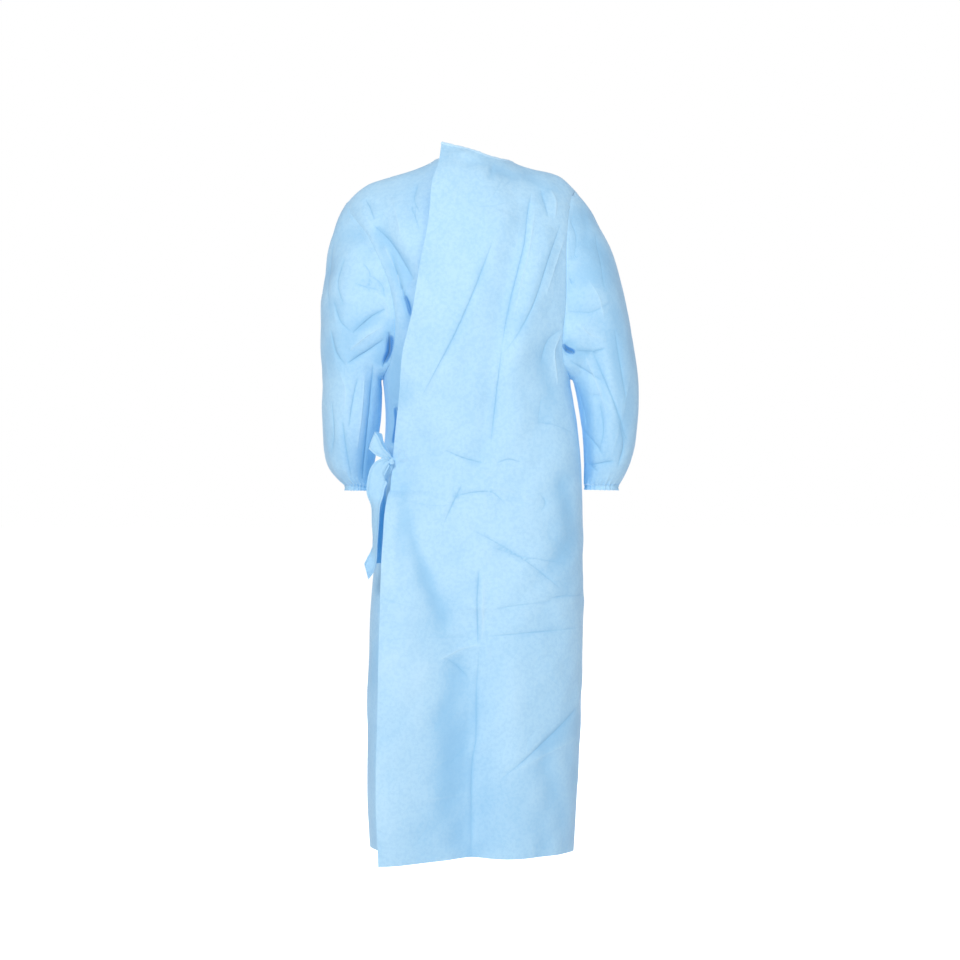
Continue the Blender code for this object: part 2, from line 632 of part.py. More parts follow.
def build_binding(front, wrap, under):
    """A folded strip that stands on the neckline, from the wrap corner round to the hidden corner."""
    path, normals = [], []
    for grid, part in (
        (wrap, slice(WRAP_NECK_COLUMN, None)),
        (front, slice(FRONT_COLUMNS - FRONT_NECK_COLUMNS[1] + 1, FRONT_COLUMNS - FRONT_NECK_COLUMNS[0])),
        (under, slice(None, UNDER_NECK_COLUMN + 1)),
    ):
        path += list(grid[-1, part][::-1])
        normals += list(surface_normals(grid)[-1, part][::-1])
    for _ in range(3):
        before, after = [normals[0], *normals[:-1]], [*normals[1:], normals[-1]]
        normals = [(b + 2 * n + a) / 4 for b, n, a in zip(before, normals, after)]
    path, normals = np.array(path), np.array(normals)
    outward = np.cross(normals, np.gradient(path, axis=0))
    outward /= np.linalg.norm(outward, axis=1, keepdims=True)
    heights = np.linspace(BINDING_GAP, BINDING_GAP + BINDING_WIDTH, 3)
    return np.array([path + outward * height for height in heights])


def at_knot(section):
    """A tape's end section, square to its line to the knot and moved until it almost touches it."""
    line = np.array([section.x, section.y, section.z]) - KNOT
    line /= np.linalg.norm(line)
    reach = 1 / np.linalg.norm(line / KNOT_SIZE) + KNOT_GAP
    across = np.array([section.across_x, section.across_y, section.across_z])
    return Tape(*(KNOT + line * reach), *(across - line * (across @ line)), section.width)


def build_tape(sections, knot_first=False, knot_last=False):
    """A flat tape as rows of points across it, along a smooth path through its sections."""
    sections = list(sections)
    if knot_first:
        sections[0] = at_knot(sections[0])
    if knot_last:
        sections[-1] = at_knot(sections[-1])
    count = (len(sections) - 1) * TAPE_STEPS + 1
    places = np.linspace(0, len(sections) - 1, count)
    step = namedtuple("Step", "at value")

    def read(field):
        return smooth([step(i, getattr(s, field)) for i, s in enumerate(sections)], "value", places)

    middle = np.stack([read("x"), read("y"), read("z")], axis=1)
    across = np.stack([read("across_x"), read("across_y"), read("across_z")], axis=1)
    across /= np.linalg.norm(across, axis=1, keepdims=True)
    half = read("width")[:, None] / 2
    return np.stack([middle - across * half, middle, middle + across * half], axis=1)


def material(name, finish):
    """A plain fabric material with the finish's colour and roughness."""
    made = bpy.data.materials.new(name)
    made.use_nodes = True
    shader = made.node_tree.nodes["Principled BSDF"]
    colour = [c**2.2 for c in (finish.red, finish.green, finish.blue)]
    shader.inputs["Base Color"].default_value = (*colour, 1.0)
    shader.inputs["Roughness"].default_value = finish.roughness
    shader.inputs["Metallic"].default_value = 0.0
    return made


def cloth_object(name, grid, finish, thickness=CLOTH, closed=False, seams=False):
    """A cloth piece: the wall of a given thickness about a grid of points.

    Where seams is set, the wall's edges at the side and shoulder seams are cut square to the seam.
    """
    rows, columns = grid.shape[:2]
    normals = surface_normals(grid, closed)
    if seams:
        at_seam = np.abs(grid[..., 1]) < SEAM_GAP
        normals[..., 1] = np.where(at_seam, 0.0, normals[..., 1])
        normals /= np.linalg.norm(normals, axis=2, keepdims=True)
    wall = bmesh.new()
    faces = []
    layers = [
        [[wall.verts.new(point) for point in row] for row in grid + normals * side * thickness / 2]
        for side in (1, -1)
    ]
    last = columns if closed else columns - 1
    for r in range(rows - 1):
        for c in range(last):
            d = (c + 1) % columns
            for layer in layers:
                faces.append(wall.faces.new((layer[r][c], layer[r][d], layer[r + 1][d], layer[r + 1][c])))
                faces[-1].smooth = True
    rims = [[(r, c) for c in range(columns)] + ([(r, 0)] if closed else []) for r in (0, rows - 1)]
    if not closed:
        rims += [[(r, c) for r in range(rows)] for c in (0, columns - 1)]
    for rim in rims:
        for (r, c), (q, d) in zip(rim, rim[1:]):
            wall.faces.new((layers[0][r][c], layers[0][q][d], layers[1][q][d], layers[1][r][c]))
            for layer in layers:
                wall.edges.get((layer[r][c], layer[q][d])).smooth = False
    bmesh.ops.recalc_face_normals(wall, faces=wall.faces)
    mesh = bpy.data.meshes.new(name)
    wall.to_mesh(mesh)
    wall.free()
    mesh.materials.append(finish)
    piece = bpy.data.objects.new(name, mesh)
    bpy.context.scene.collection.objects.link(piece)
    return piece


def knot_object(finish):
    """The bow's knot: a rounded lump drawn tight round the tapes."""
    lump = bmesh.new()
    bmesh.ops.create_icosphere(lump, subdivisions=2, radius=1.0)
    bmesh.ops.scale(lump, vec=KNOT_SIZE, verts=lump.verts)
    mesh = bpy.data.meshes.new("tie_knot")
    lump.to_mesh(mesh)
    lump.free()
    mesh.shade_smooth()
    mesh.materials.append(finish)
    knot = bpy.data.objects.new("tie_knot", mesh)
    knot.location = KNOT
    bpy.context.scene.collection.objects.link(knot)
    return knot


def main():
    """Clears the scene and builds the gown."""
    for old in list(bpy.data.objects):
        bpy.data.objects.remove(old, do_unlink=True)

    gown_cloth = material("gown_cloth", GOWN_CLOTH)
    tie_cloth = material("tie_cloth", TIE_CLOTH)
    binding_cloth = material("binding", BINDING)
    elastic_hem = material("elastic_hem", ELASTIC_HEM)

    front, wrap, under = build_body()
    for name, grid in [("front_panel", front), ("back_wrap_panel", wrap)] + under_parts(under):
        cloth_object(name, grid, gown_cloth, seams=True)

    for side, table, back in (("right", RIGHT_SLEEVE, wrap), ("left", LEFT_SLEEVE, under)):
        right = side == "right"
        sleeve = build_sleeve(armhole_loop(front, back, right), table, right)
        cloth_object(f"sleeve_{side}", sleeve, gown_cloth, closed=True)
        cloth_object(f"cuff_{side}", build_cuff(sleeve), elastic_hem, closed=True)

    cloth_object("neck_binding", build_binding(front, wrap, under), binding_cloth, BINDING_CLOTH)

    knot_object(tie_cloth)
    for name, grid in (
        ("tie_loop", build_tape(UPPER_LOOP, knot_first=True, knot_last=True)),
        ("tie_tail_long", build_tape(LONG_TAIL, knot_first=True)),
        ("tie_tail_short", build_tape(SHORT_TAIL, knot_first=True)),
        ("tie_side", build_tape(SIDE_TIE, knot_last=True)),
    ):
        cloth_object(name, grid, tie_cloth)


main()
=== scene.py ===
"""Looks of a worn surgical gown: thin creased nonwoven cloth, bound neck, elastic sleeve hems and a tied bow.

Every cloth piece is a fine grid of points on the form of its solid, creased by listed folds and then
given a thin wall. Units are metres; +X is the gown's right as worn, +Y is forward and +Z is up.
"""

from __future__ import annotations

import json
import logging
import math
from collections.abc import Callable, Sequence
from dataclasses import dataclass, field, fields
from enum import Enum
from typing import Any

import bpy
import numpy as np
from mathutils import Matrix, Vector

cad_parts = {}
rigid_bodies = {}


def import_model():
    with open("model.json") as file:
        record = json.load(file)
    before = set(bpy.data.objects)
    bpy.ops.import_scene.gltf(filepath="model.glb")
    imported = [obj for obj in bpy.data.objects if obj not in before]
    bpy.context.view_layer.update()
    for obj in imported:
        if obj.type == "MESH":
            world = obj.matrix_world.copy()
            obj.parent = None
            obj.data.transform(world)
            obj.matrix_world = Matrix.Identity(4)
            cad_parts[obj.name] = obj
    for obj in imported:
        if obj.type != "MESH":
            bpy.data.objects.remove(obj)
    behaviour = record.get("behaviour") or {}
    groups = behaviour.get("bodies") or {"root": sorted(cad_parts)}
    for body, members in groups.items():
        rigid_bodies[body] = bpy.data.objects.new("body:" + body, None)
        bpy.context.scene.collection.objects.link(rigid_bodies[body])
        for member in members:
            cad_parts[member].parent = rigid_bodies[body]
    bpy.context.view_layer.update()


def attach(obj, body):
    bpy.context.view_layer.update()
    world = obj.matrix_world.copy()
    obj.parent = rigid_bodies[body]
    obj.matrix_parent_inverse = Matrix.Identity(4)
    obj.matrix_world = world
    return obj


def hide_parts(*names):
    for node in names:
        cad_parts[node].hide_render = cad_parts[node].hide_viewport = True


LOG = logging.getLogger("gown")
BODY = "root"
CREASE_STEPS = 13
REACH_WIDTHS = 7.0
FAR_LINE = 0.05
LINE_REACH = 0.009
STITCH_OFF = 0.00012
MM = 1000.0
Array = np.ndarray


class Side(Enum):
    """The gown's two sides, as worn."""

    RIGHT = 1.0
    LEFT = -1.0


class Relief(Enum):
    """How a crease's height falls away to its sides: softly, to a sharp line, or with a lip on its left."""

    SOFT = "soft"
    KNIFE = "knife"
    TUCK = "tuck"


SOFT, KNIFE, TUCK = Relief


class Held(Enum):
    """How a cloth piece is held, in the frame's words."""

    HUNG = "hung"
    DRAPED = "draped"


@dataclass(frozen=True)
class Section:
    """A horizontal section of the body: side seams, depths and the wrap panel's own half width."""

    z: float
    right: float
    left: float
    outer: float
    under: float
    front: float
    reach: float


@dataclass(frozen=True)
class Ridge:
    """A point of the shoulder line or of a neckline."""

    x: float
    z: float


@dataclass(frozen=True)
class Armhole:
    """A point of an armhole: its way up from armpit to shoulder, and its share of the half width."""

    share: float
    width: float


@dataclass(frozen=True)
class Edge:
    """A point of a panel's free edge."""

    z: float
    x: float


@dataclass(frozen=True)
class Hang:
    """How far a hem hangs below the hem line at a share of its columns from the right end."""

    share: float
    drop: float


@dataclass(frozen=True)
class Ring:
    """A sleeve's ring: its far and near points from the body, half its depth, and how far forward it is."""

    outer_x: float
    outer_z: float
    inner_x: float
    inner_z: float
    depth: float
    forward: float


@dataclass(frozen=True)
class Step:
    """A value at a place along a table."""

    at: float
    value: float


@dataclass(frozen=True)
class Tape:
    """A section of a waist tie: its middle, the direction of its width, and its width."""

    x: float
    y: float
    z: float
    across_x: float
    across_y: float
    across_z: float
    width: float


SECTIONS = (
    Section(-1.360, 0.193, -0.201, 0.158, 0.122, 0.148, 0.36),
    Section(-1.200, 0.202, -0.208, 0.155, 0.122, 0.144, 0.36),
    Section(-1.070, 0.208, -0.207, 0.152, 0.121, 0.141, 0.36),
    Section(-0.870, 0.212, -0.199, 0.148, 0.119, 0.138, 0.34),
    Section(-0.700, 0.211, -0.186, 0.132, 0.106, 0.132, 0.29),
    Section(-0.600, 0.208, -0.176, 0.121, 0.099, 0.127, 0.25),
    Section(-0.520, 0.199, -0.172, 0.126, 0.107, 0.128, 0.25),
    Section(-0.440, 0.187, -0.177, 0.132, 0.117, 0.130, 0.24),
    Section(-0.300, 0.204, -0.197, 0.137, 0.125, 0.128, 0.24),
    Section(-0.200, 0.217, -0.230, 0.134, 0.122, 0.116, 0.26),
    Section(-0.100, 0.229, -0.262, 0.122, 0.107, 0.092, 0.28),
    Section(0.000, 0.236, -0.264, 0.108, 0.088, 0.068, 0.28),
    Section(0.050, 0.236, -0.264, 0.100, 0.080, 0.060, 0.28),
)
SHOULDER_LINE = (
    Ridge(-0.264, -0.122),
    Ridge(-0.246, -0.095),
    Ridge(-0.222, -0.073),
    Ridge(-0.199, -0.059),
    Ridge(-0.164, -0.047),
    Ridge(-0.129, -0.037),
    Ridge(-0.105, -0.028),
    Ridge(-0.076, -0.015),
    Ridge(-0.040, 0.014),
    Ridge(0.000, 0.032),
    Ridge(0.040, 0.006),
    Ridge(0.076, -0.019),
    Ridge(0.098, -0.028),
    Ridge(0.144, -0.038),
    Ridge(0.168, -0.048),
    Ridge(0.191, -0.067),
    Ridge(0.203, -0.079),
    Ridge(0.236, -0.112),
)
WRAP_LINE = (Ridge(-0.300, 0.034), Ridge(-0.070, 0.040)) + tuple(r for r in SHOULDER_LINE if r.x >= 0.0)
BACK_NECKLINE = (
    Ridge(-0.062, 0.0100),
    Ridge(-0.036, 0.0030),
    Ridge(-0.004, -0.0055),
    Ridge(0.017, -0.013),
    Ridge(0.036, -0.018),
    Ridge(0.055, -0.020),
    Ridge(0.076, -0.019),
)
UNDER_NECKLINE = (Ridge(-0.076, -0.015), Ridge(-0.040, -0.021), Ridge(0.000, -0.022), Ridge(0.050, -0.028))
FRONT_NECKLINE = (
    Ridge(-0.076, -0.015),
    Ridge(-0.045, -0.060),
    Ridge(0.000, -0.082),
    Ridge(0.045, -0.062),
    Ridge(0.076, -0.019),
)
ARMHOLES = {
    Side.RIGHT: (
        Armhole(0.00, 1.000),
        Armhole(0.07, 0.915),
        Armhole(0.18, 0.880),
        Armhole(0.37, 0.865),
        Armhole(0.70, 0.820),
        Armhole(0.88, 0.825),
        Armhole(1.00, 0.860),
    ),
    Side.LEFT: (
        Armhole(0.00, 1.000),
        Armhole(0.07, 0.895),
        Armhole(0.15, 0.840),
        Armhole(0.30, 0.800),
        Armhole(0.42, 0.808),
        Armhole(0.55, 0.835),
        Armhole(0.70, 0.870),
        Armhole(0.85, 0.915),
        Armhole(1.00, 0.932),
    ),
}
SHOULDER_X = {Side.RIGHT: 0.199, Side.LEFT: -0.246}
FREE_EDGE = (
    Edge(-1.360, -0.167),
    Edge(-1.193, -0.172),
    Edge(-1.067, -0.170),
    Edge(-0.872, -0.167),
    Edge(-0.700, -0.163),
    Edge(-0.634, -0.158),
    Edge(-0.598, -0.154),
    Edge(-0.570, -0.151),
    Edge(-0.479, -0.142),
    Edge(-0.409, -0.136),
    Edge(-0.357, -0.125),
    Edge(-0.310, -0.114),
    Edge(-0.240, -0.103),
    Edge(-0.143, -0.085),
    Edge(-0.074, -0.079),
    Edge(-0.031, -0.067),
    Edge(0.010, -0.062),
)
SLEEVE_RINGS = {
    Side.RIGHT: (
        Ring(0.240, -0.136, 0.1925, -0.4425, 0.086, 0.002),
        Ring(0.274, -0.212, 0.1955, -0.4480, 0.082, 0.004),
        Ring(0.297, -0.300, 0.1985, -0.4600, 0.078, 0.007),
        Ring(0.312, -0.375, 0.2030, -0.4800, 0.075, 0.010),
        Ring(0.320, -0.440, 0.2075, -0.5100, 0.073, 0.014),
        Ring(0.322, -0.500, 0.2120, -0.5450, 0.071, 0.018),
        Ring(0.318, -0.552, 0.2155, -0.5800, 0.066, 0.022),
        Ring(0.308, -0.600, 0.2170, -0.6120, 0.056, 0.025),
        Ring(0.294, -0.632, 0.2170, -0.6340, 0.045, 0.027),
        Ring(0.284, -0.647, 0.2165, -0.6460, 0.039, 0.028),
    ),
    Side.LEFT: (
        Ring(-0.271, -0.146, -0.1835, -0.4430, 0.086, 0.002),
        Ring(-0.289, -0.225, -0.1830, -0.4500, 0.083, 0.004),
        Ring(-0.299, -0.305, -0.1815, -0.4620, 0.080, 0.007),
        Ring(-0.298, -0.385, -0.1810, -0.4850, 0.077, 0.010),
        Ring(-0.296, -0.455, -0.1820, -0.5150, 0.075, 0.014),
        Ring(-0.297, -0.515, -0.1860, -0.5500, 0.073, 0.018),
        Ring(-0.295, -0.566, -0.1920, -0.5870, 0.068, 0.022),
        Ring(-0.287, -0.607, -0.1985, -0.6180, 0.057, 0.025),
        Ring(-0.270, -0.633, -0.2035, -0.6380, 0.045, 0.027),
        Ring(-0.254, -0.647, -0.2050, -0.6480, 0.038, 0.028),
    ),
}


def smooth(rows: Sequence[Any], value: str, at: Any) -> Array:
    """Reads a table's column at values of its first column, as one smooth curve without overshoot.

    Args:
        rows: a table's rows, in any order.
        value: the name of the column that is read.
        at: where it is read, in the first column's terms.

    Returns:
        The column's value at each place.
    """
    key = fields(rows[0])[0].name
    rows = sorted(rows, key=lambda row: getattr(row, key))
    known = np.array([getattr(row, key) for row in rows])
    heights = np.array([getattr(row, value) for row in rows])
    steps = np.diff(known)
    slopes = np.diff(heights) / steps
    tangents = np.zeros(len(rows))
    same = slopes[:-1] * slopes[1:] > 0
    mean = 2 * slopes[:-1] * slopes[1:] / np.where(same, slopes[:-1] + slopes[1:], 1.0)
    tangents[1:-1] = np.where(same, mean, 0.0)
    tangents[0], tangents[-1] = slopes[0], slopes[-1]
    at = np.clip(at, known[0], known[-1])
    i = np.clip(np.searchsorted(known, at, side="right") - 1, 0, len(steps) - 1)
    t = (at - known[i]) / steps[i]
    rise = steps[i] * (tangents[i] * t * (1 - t) ** 2 - tangents[i + 1] * t**2 * (1 - t))
    return heights[i] * (1 - t) ** 2 * (1 + 2 * t) + heights[i + 1] * t**2 * (3 - 2 * t) + rise


def smoothstep(low: float, high: float, at: Any) -> Array:
    """Rises smoothly from 0 at low to 1 at high."""
    t = np.clip((at - low) / (high - low), 0, 1)
    return t * t * (3 - 2 * t)


def unit(vectors: Array) -> Array:
    """Vectors of length 1, along the last axis."""
    return vectors / np.maximum(np.linalg.norm(vectors, axis=-1, keepdims=True), 1e-12)


def row_lengths(points: Array) -> Array:
    """The distance along a line of points from its first point to each point."""
    return np.concatenate([[0], np.cumsum(np.linalg.norm(np.diff(points, axis=0), axis=1))])


def at_shares(points: Array, shares: Array) -> Array:
    """Points at given shares of a line's length."""
    lengths = row_lengths(points)
    wanted = np.asarray(shares) * lengths[-1]
    return np.stack([np.interp(wanted, lengths, points[:, i]) for i in range(points.shape[1])], axis=1)


def surface_normals(points: Array, closed: bool = False) -> Array:
    """Unit normals of a grid of points, away from the body.

    Args:
        points: rows of points, each row from the gown's right to left seen from outside.
        closed: whether each row's end meets its start.

    Returns:
        A normal for each point.
    """
    if closed:
        across = np.roll(points, -1, axis=1) - np.roll(points, 1, axis=1)
    else:
        across = np.gradient(points, axis=1)
    return unit(np.cross(np.gradient(points, axis=0), across))


@dataclass(frozen=True)
class Crease:
    """A fold of the cloth along points seen from the back or the front.

    Attributes:
        path: its (x, z) points.
        width: how far to its sides it has fallen to a third.
        height: how far it stands out, or below 0 how deep it is.
        relief: how it falls away to its sides.
        bow: how far it curves off its line in the middle.
    """

    path: tuple[tuple[float, float], ...]
    width: float
    height: float
    relief: Relief = Relief.SOFT
    bow: float = 0.0

    def line(self) -> Array:
        """The crease's own line, curved through its points."""
        knots = np.array(self.path)
        if len(knots) == 2 and not self.bow:
            return knots
        share = np.linspace(0, 1, CREASE_STEPS)
        if len(knots) == 2:
            curve = at_shares(knots, share)
            run = unit(knots[-1] - knots[0])
            return curve + np.outer(4 * share * (1 - share), [run[1], -run[0]]) * self.bow
        lengths = row_lengths(knots)
        at = share * lengths[-1]
        columns = [[Step(a, v) for a, v in zip(lengths, knots[:, i])] for i in range(2)]
        return np.stack([smooth(column, "value", at) for column in columns], axis=1)

    def nearest(self, x: Array, z: Array) -> tuple[Array, Array]:
        """How far places are from the crease, below 0 on its left, and how far along it they are."""
        line = self.line()
        lengths = row_lengths(line)
        best = np.full(x.shape, np.inf)
        along, side = np.zeros(x.shape), np.ones(x.shape)
        for start, end, low, high in zip(line, line[1:], lengths, lengths[1:]):
            run = end - start
            t = np.clip(((x - start[0]) * run[0] + (z - start[1]) * run[1]) / (run @ run), 0, 1)
            off_x, off_z = x - start[0] - t * run[0], z - start[1] - t * run[1]
            gap = np.hypot(off_x, off_z)
            nearer = gap < best
            best = np.where(nearer, gap, best)
            along = np.where(nearer, low + t * (high - low), along)
            side = np.where(nearer, np.where(off_x * run[1] - off_z * run[0] < 0, -1.0, 1.0), side)
        return best * side, along / lengths[-1]

    def profile(self, gap: Array) -> Array:
        """The crease's cross-section: 1 at its line and nothing far from it."""
        reach = np.abs(gap) / self.width
        if self.relief is Relief.KNIFE:
            return np.exp(-reach)
        if self.relief is Relief.TUCK:
            return np.where(gap < 0, np.exp(-reach / 2) * np.clip(reach * 0.8, 0, 1) * -0.5, 0.0) + np.exp(-reach * 1.4)
        return np.exp(-(reach**2))


@dataclass
class CreaseField:
    """What a set of creases does to the cloth at a grid of places.

    Attributes:
        height: how far the cloth stands off its plain form, below 0 in troughs.
        gap: how far the nearest pressed line is, below 0 on its left.
        line: how deep that line is pressed there.
    """

    height: Array
    gap: Array
    line: Array

    @classmethod
    def of(cls, creases: Sequence[Crease], x: Array, z: Array, pressed: float = 0.30) -> CreaseField:
        """Lays creases over places on the cloth.

        Args:
            creases: the creases that count.
            x: the places across.
            z: the places' heights.
            pressed: how deep a sharp crease's line is, as a share of the crease's own height.

        Returns:
            What they do there.
        """
        made = cls(np.zeros(x.shape), np.full(x.shape, FAR_LINE), np.zeros(x.shape))
        for crease in creases:
            reach = crease.width * REACH_WIDTHS
            low = np.min(crease.path, axis=0) - reach - abs(crease.bow)
            high = np.max(crease.path, axis=0) + reach + abs(crease.bow)
            near = (x > low[0]) & (x < high[0]) & (z > low[1]) & (z < high[1])
            if not near.any():
                continue
            gap, share = crease.nearest(x[near], z[near])
            fade = np.sqrt(np.clip(4 * share * (1 - share), 0, 1))
            made.height[near] += crease.height * fade * crease.profile(gap)
            if crease.relief is Relief.SOFT:
                continue
            nearer = np.abs(gap) < np.abs(made.gap[near])
            made.gap[near] = np.where(nearer, gap, made.gap[near])
            weaker = (1 - np.clip(np.abs(gap) / LINE_REACH, 0, 1)) ** 1.5
            made.line[near] = np.where(nearer, crease.height * fade * pressed * weaker, made.line[near])
        return made

    def plus(self, other: CreaseField) -> CreaseField:
        """Adds another field, whose lines count where they are stronger."""
        stronger = np.abs(other.line) > np.abs(self.line)
        return CreaseField(
            self.height + other.height,
            np.where(stronger, other.gap, self.gap),
            np.where(stronger, other.line, self.line),
        )

    def faded(self, share: Any) -> CreaseField:
        """The same field, weaker."""
        return CreaseField(self.height * share, self.gap, self.line * share)

    def mirrored(self) -> CreaseField:
        """The same field for rows that are read from their other end."""
        return CreaseField(self.height[:, ::-1], self.gap[:, ::-1], self.line[:, ::-1])


VIEW_DISTANCE = 3.6
VIEW_SCALE = 1846.0
VIEW_CENTRE = (480.0, 480.0)
VIEW_AIM = (0.0117, -0.638)


def seen(*pixels: tuple[float, float], depth: float = -0.13) -> tuple[tuple[float, float], ...]:
    """Turns pixels of the 960-pixel view from behind into places on the cloth.

    Args:
        pixels: the pixels, across and down.
        depth: how far back the cloth lies there.

    Returns:
        The places, as (x, z).
    """
    scale = (VIEW_DISTANCE + depth) / VIEW_SCALE
    return tuple(
        (VIEW_AIM[0] + (px - VIEW_CENTRE[0]) * scale, VIEW_AIM[1] - (py - VIEW_CENTRE[1]) * scale)
        for px, py in pixels
    )


def fold(
    width: float, height: float, x: float, z: float, end_x: float, end_z: float, bow: float = 0.0
) -> Crease:
    """A large soft fold between two places, with every measure in millimetres.

    Args:
        width: how far to its sides it has fallen to a third.
        height: how far it stands out.
        x: where it starts, across.
        z: where it starts, up.
        end_x: where it ends, across.
        end_z: where it ends, up.
        bow: how far it curves off its line in the middle.

    Returns:
        The fold.
    """
    path = ((x / MM, z / MM), (end_x / MM, end_z / MM))
    return Crease(path, width / MM, height / MM, bow=bow / MM)


def placed(*rows: tuple[Any, ...]) -> tuple[Crease, ...]:
    """Creases by their places on the cloth.

    Args:
        rows: relief, width, height and then the path's places, all in millimetres.

    Returns:
        The creases.
    """
    return tuple(
        Crease(tuple((x / MM, z / MM) for x, z in zip(path[::2], path[1::2])), width / MM, height / MM, relief)
        for relief, width, height, *path in rows
    )


def marked(depth: float, *rows: tuple[Any, ...]) -> tuple[Crease, ...]:
    """Creases by the pixels that they pass in the view from behind.

    Args:
        depth: how far back the cloth lies there.
        rows: relief, width and height in millimetres, and then the path's pixels.

    Returns:
        The creases.
    """
    return tuple(
        Crease(seen(*zip(path[::2], path[1::2]), depth=depth), width / MM, height / MM, relief)
        for relief, width, height, *path in rows
    )


# Folds that the solids have too
WRAP_FOLDS = (
    fold(85, 52, -150, -660, -190, -2000), fold(40, -26, -2, -880, -8, -2100),
    fold(50, 8, 75, -820, 70, -2100), fold(26, -10, 105, -110, 20, -620, 12),
    fold(28, 7, 55, -130, -85, -560, 10), fold(30, 8, 150, -160, 55, -460),
    fold(34, -9, -140, -600, -20, -960, 12), fold(36, -7, 165, -350, 110, -600, 6),
)
UNDER_FOLDS = (
    fold(26, -8, -190, -130, -90, -300, 10), fold(24, -8, -150, -200, -120, -420),
    fold(24, 6, -130, -180, -160, -480),
)
FRONT_FOLDS = (
    fold(30, -8, -150, -150, -30, -560, 12), fold(30, -8, 150, -130, 60, -600, -10),
    fold(45, 16, 90, -600, 110, -2100), fold(48, 18, -80, -620, -105, -2100),
    fold(40, -14, 10, -560, 4, -2100), fold(34, -10, 160, -520, 170, -2000),
    fold(34, -10, -160, -540, -170, -2000),
)
# Creases that only the fine cloth has: on the outer back, from the neck down
WRAP_CREASES = marked(-0.13,
    (SOFT, 10, -2.2, 450, 152, 470, 158, 488, 160), (SOFT, 7, -1.6, 490, 156, 492, 166, 490, 176),
    (SOFT, 12, -2.6, 492, 160, 506, 168, 522, 172),
    (KNIFE, 9, -3.6, 493, 240, 476, 286, 457, 330, 436, 370, 422, 396),
    (TUCK, 6.4, -3.1, 532, 188, 528, 217, 526, 238, 518, 272, 509, 309, 502, 348),
    (TUCK, 7, -3, 502, 348, 497, 392, 491, 442),
    (KNIFE, 8, 2.6, 536, 205, 531, 240, 522, 279, 513, 318),
    (KNIFE, 6.4, -2.6, 542, 184, 546, 199, 549, 214), (KNIFE, 8, 2.6, 552, 184, 557, 198, 556, 214),
    (KNIFE, 10.4, -3.1, 562, 221, 548, 258, 535, 298, 520, 330, 505, 352),
    (KNIFE, 8, 2.2, 566, 232, 556, 262, 546, 292), (KNIFE, 6, -1.8, 564, 326, 549, 340, 543, 362),
    (KNIFE, 6, -1, 544, 392, 540, 421), (KNIFE, 10, 3.4, 563, 330, 556, 352, 560, 384),
    (SOFT, 12, -1.2, 558, 372, 551, 404, 546, 426), (KNIFE, 6, -2, 539, 421, 556, 424, 574, 431),
    (KNIFE, 5, -3.4, 445, 450, 464, 458, 484, 463), (KNIFE, 5, -2.8, 497, 463, 509, 459, 521, 462),
    (KNIFE, 5, -3, 452, 497, 474, 492, 488, 491, 505, 503),
    (KNIFE, 5, -2.8, 462, 484, 453, 503, 444, 524), (KNIFE, 5, 1.6, 490, 488, 514, 492, 536, 503),
    (KNIFE, 5, -1.6, 540, 493, 546, 503, 541, 512),
    (KNIFE, 7, -2.6, 473, 530, 503, 546, 537, 569, 562, 590),
    (KNIFE, 4, -2, 493, 547, 520, 556, 563, 563), (KNIFE, 4, -1.8, 493, 609, 524, 604, 552, 602),
    (KNIFE, 4, -2.4, 548, 599, 568, 597, 586, 598),
    (SOFT, 13, -3.4, 400, 482, 408, 520, 424, 570, 448, 628),
    (SOFT, 10, -2.4, 399, 500, 402, 540, 408, 590), (TUCK, 6, -3.6, 479, 570, 477, 600, 478, 644),
    (KNIFE, 4, 3, 484, 574, 483, 610, 482, 642), (KNIFE, 5, 3.6, 479, 644, 463, 648, 440, 659),
    (KNIFE, 4, -2.4, 446, 657, 456, 664, 467, 676), (KNIFE, 4, -2.4, 482, 636, 537, 632, 583, 630),
    (KNIFE, 4, 1.2, 482, 644, 490, 650, 484, 660),
    (TUCK, 6, -2.6, 479, 650, 476, 700, 476, 735, 471, 770, 471, 868),
    (SOFT, 22, -1.6, 453, 668, 448, 712, 452, 752, 446, 806),
    (SOFT, 22, 2.4, 430, 660, 424, 720, 430, 800),
    (TUCK, 6, -3, 503, 775, 528, 755, 556, 733, 582, 709),
    (KNIFE, 6, 1.8, 516, 768, 546, 755, 580, 742),
    (SOFT, 20, -2.4, 533, 700, 546, 742, 548, 800, 540, 850),
    (SOFT, 22, 2.2, 500, 640, 514, 690, 510, 760), (SOFT, 16, -2.6, 560, 470, 570, 520, 566, 566),
    (SOFT, 20, -1.8, 424, 430, 434, 470, 430, 520), (KNIFE, 4, -0.8, 398, 500, 440, 506, 470, 500),
    (KNIFE, 4, -0.8, 384, 640, 420, 636, 474, 637), (KNIFE, 4, 0.7, 380, 790, 430, 796, 470, 792),
)
# Painted shade: soft shaded areas of the outer back, painted darker into the cloth's colour with no fold in its form
WRAP_PAINTED_SHADE = marked(-0.13,
    (SOFT, 18, -3, 494, 160, 520, 170, 548, 180, 570, 196),
    (SOFT, 31, -3.3, 566, 338, 552, 362, 549, 424), (SOFT, 26, -2.6, 536, 236, 524, 280, 514, 338),
    (SOFT, 37, -3, 566, 452, 566, 520, 572, 600),
    (SOFT, 26, -3.2, 400, 470, 414, 540, 434, 604, 456, 660),
    (SOFT, 46, -3.6, 462, 648, 452, 740, 456, 870), (SOFT, 46, -2.6, 436, 690, 428, 780, 420, 880),
    (SOFT, 25, -3, 582, 716, 546, 750, 512, 776), (SOFT, 71, -3.2, 512, 770, 530, 830, 546, 870),
    (SOFT, 37, -2.6, 578, 700, 576, 800, 574, 860), (SOFT, 16, -2.4, 488, 150, 491, 170, 490, 184),
    (SOFT, 22, -2.4, 418, 376, 405, 396, 403, 412),
)
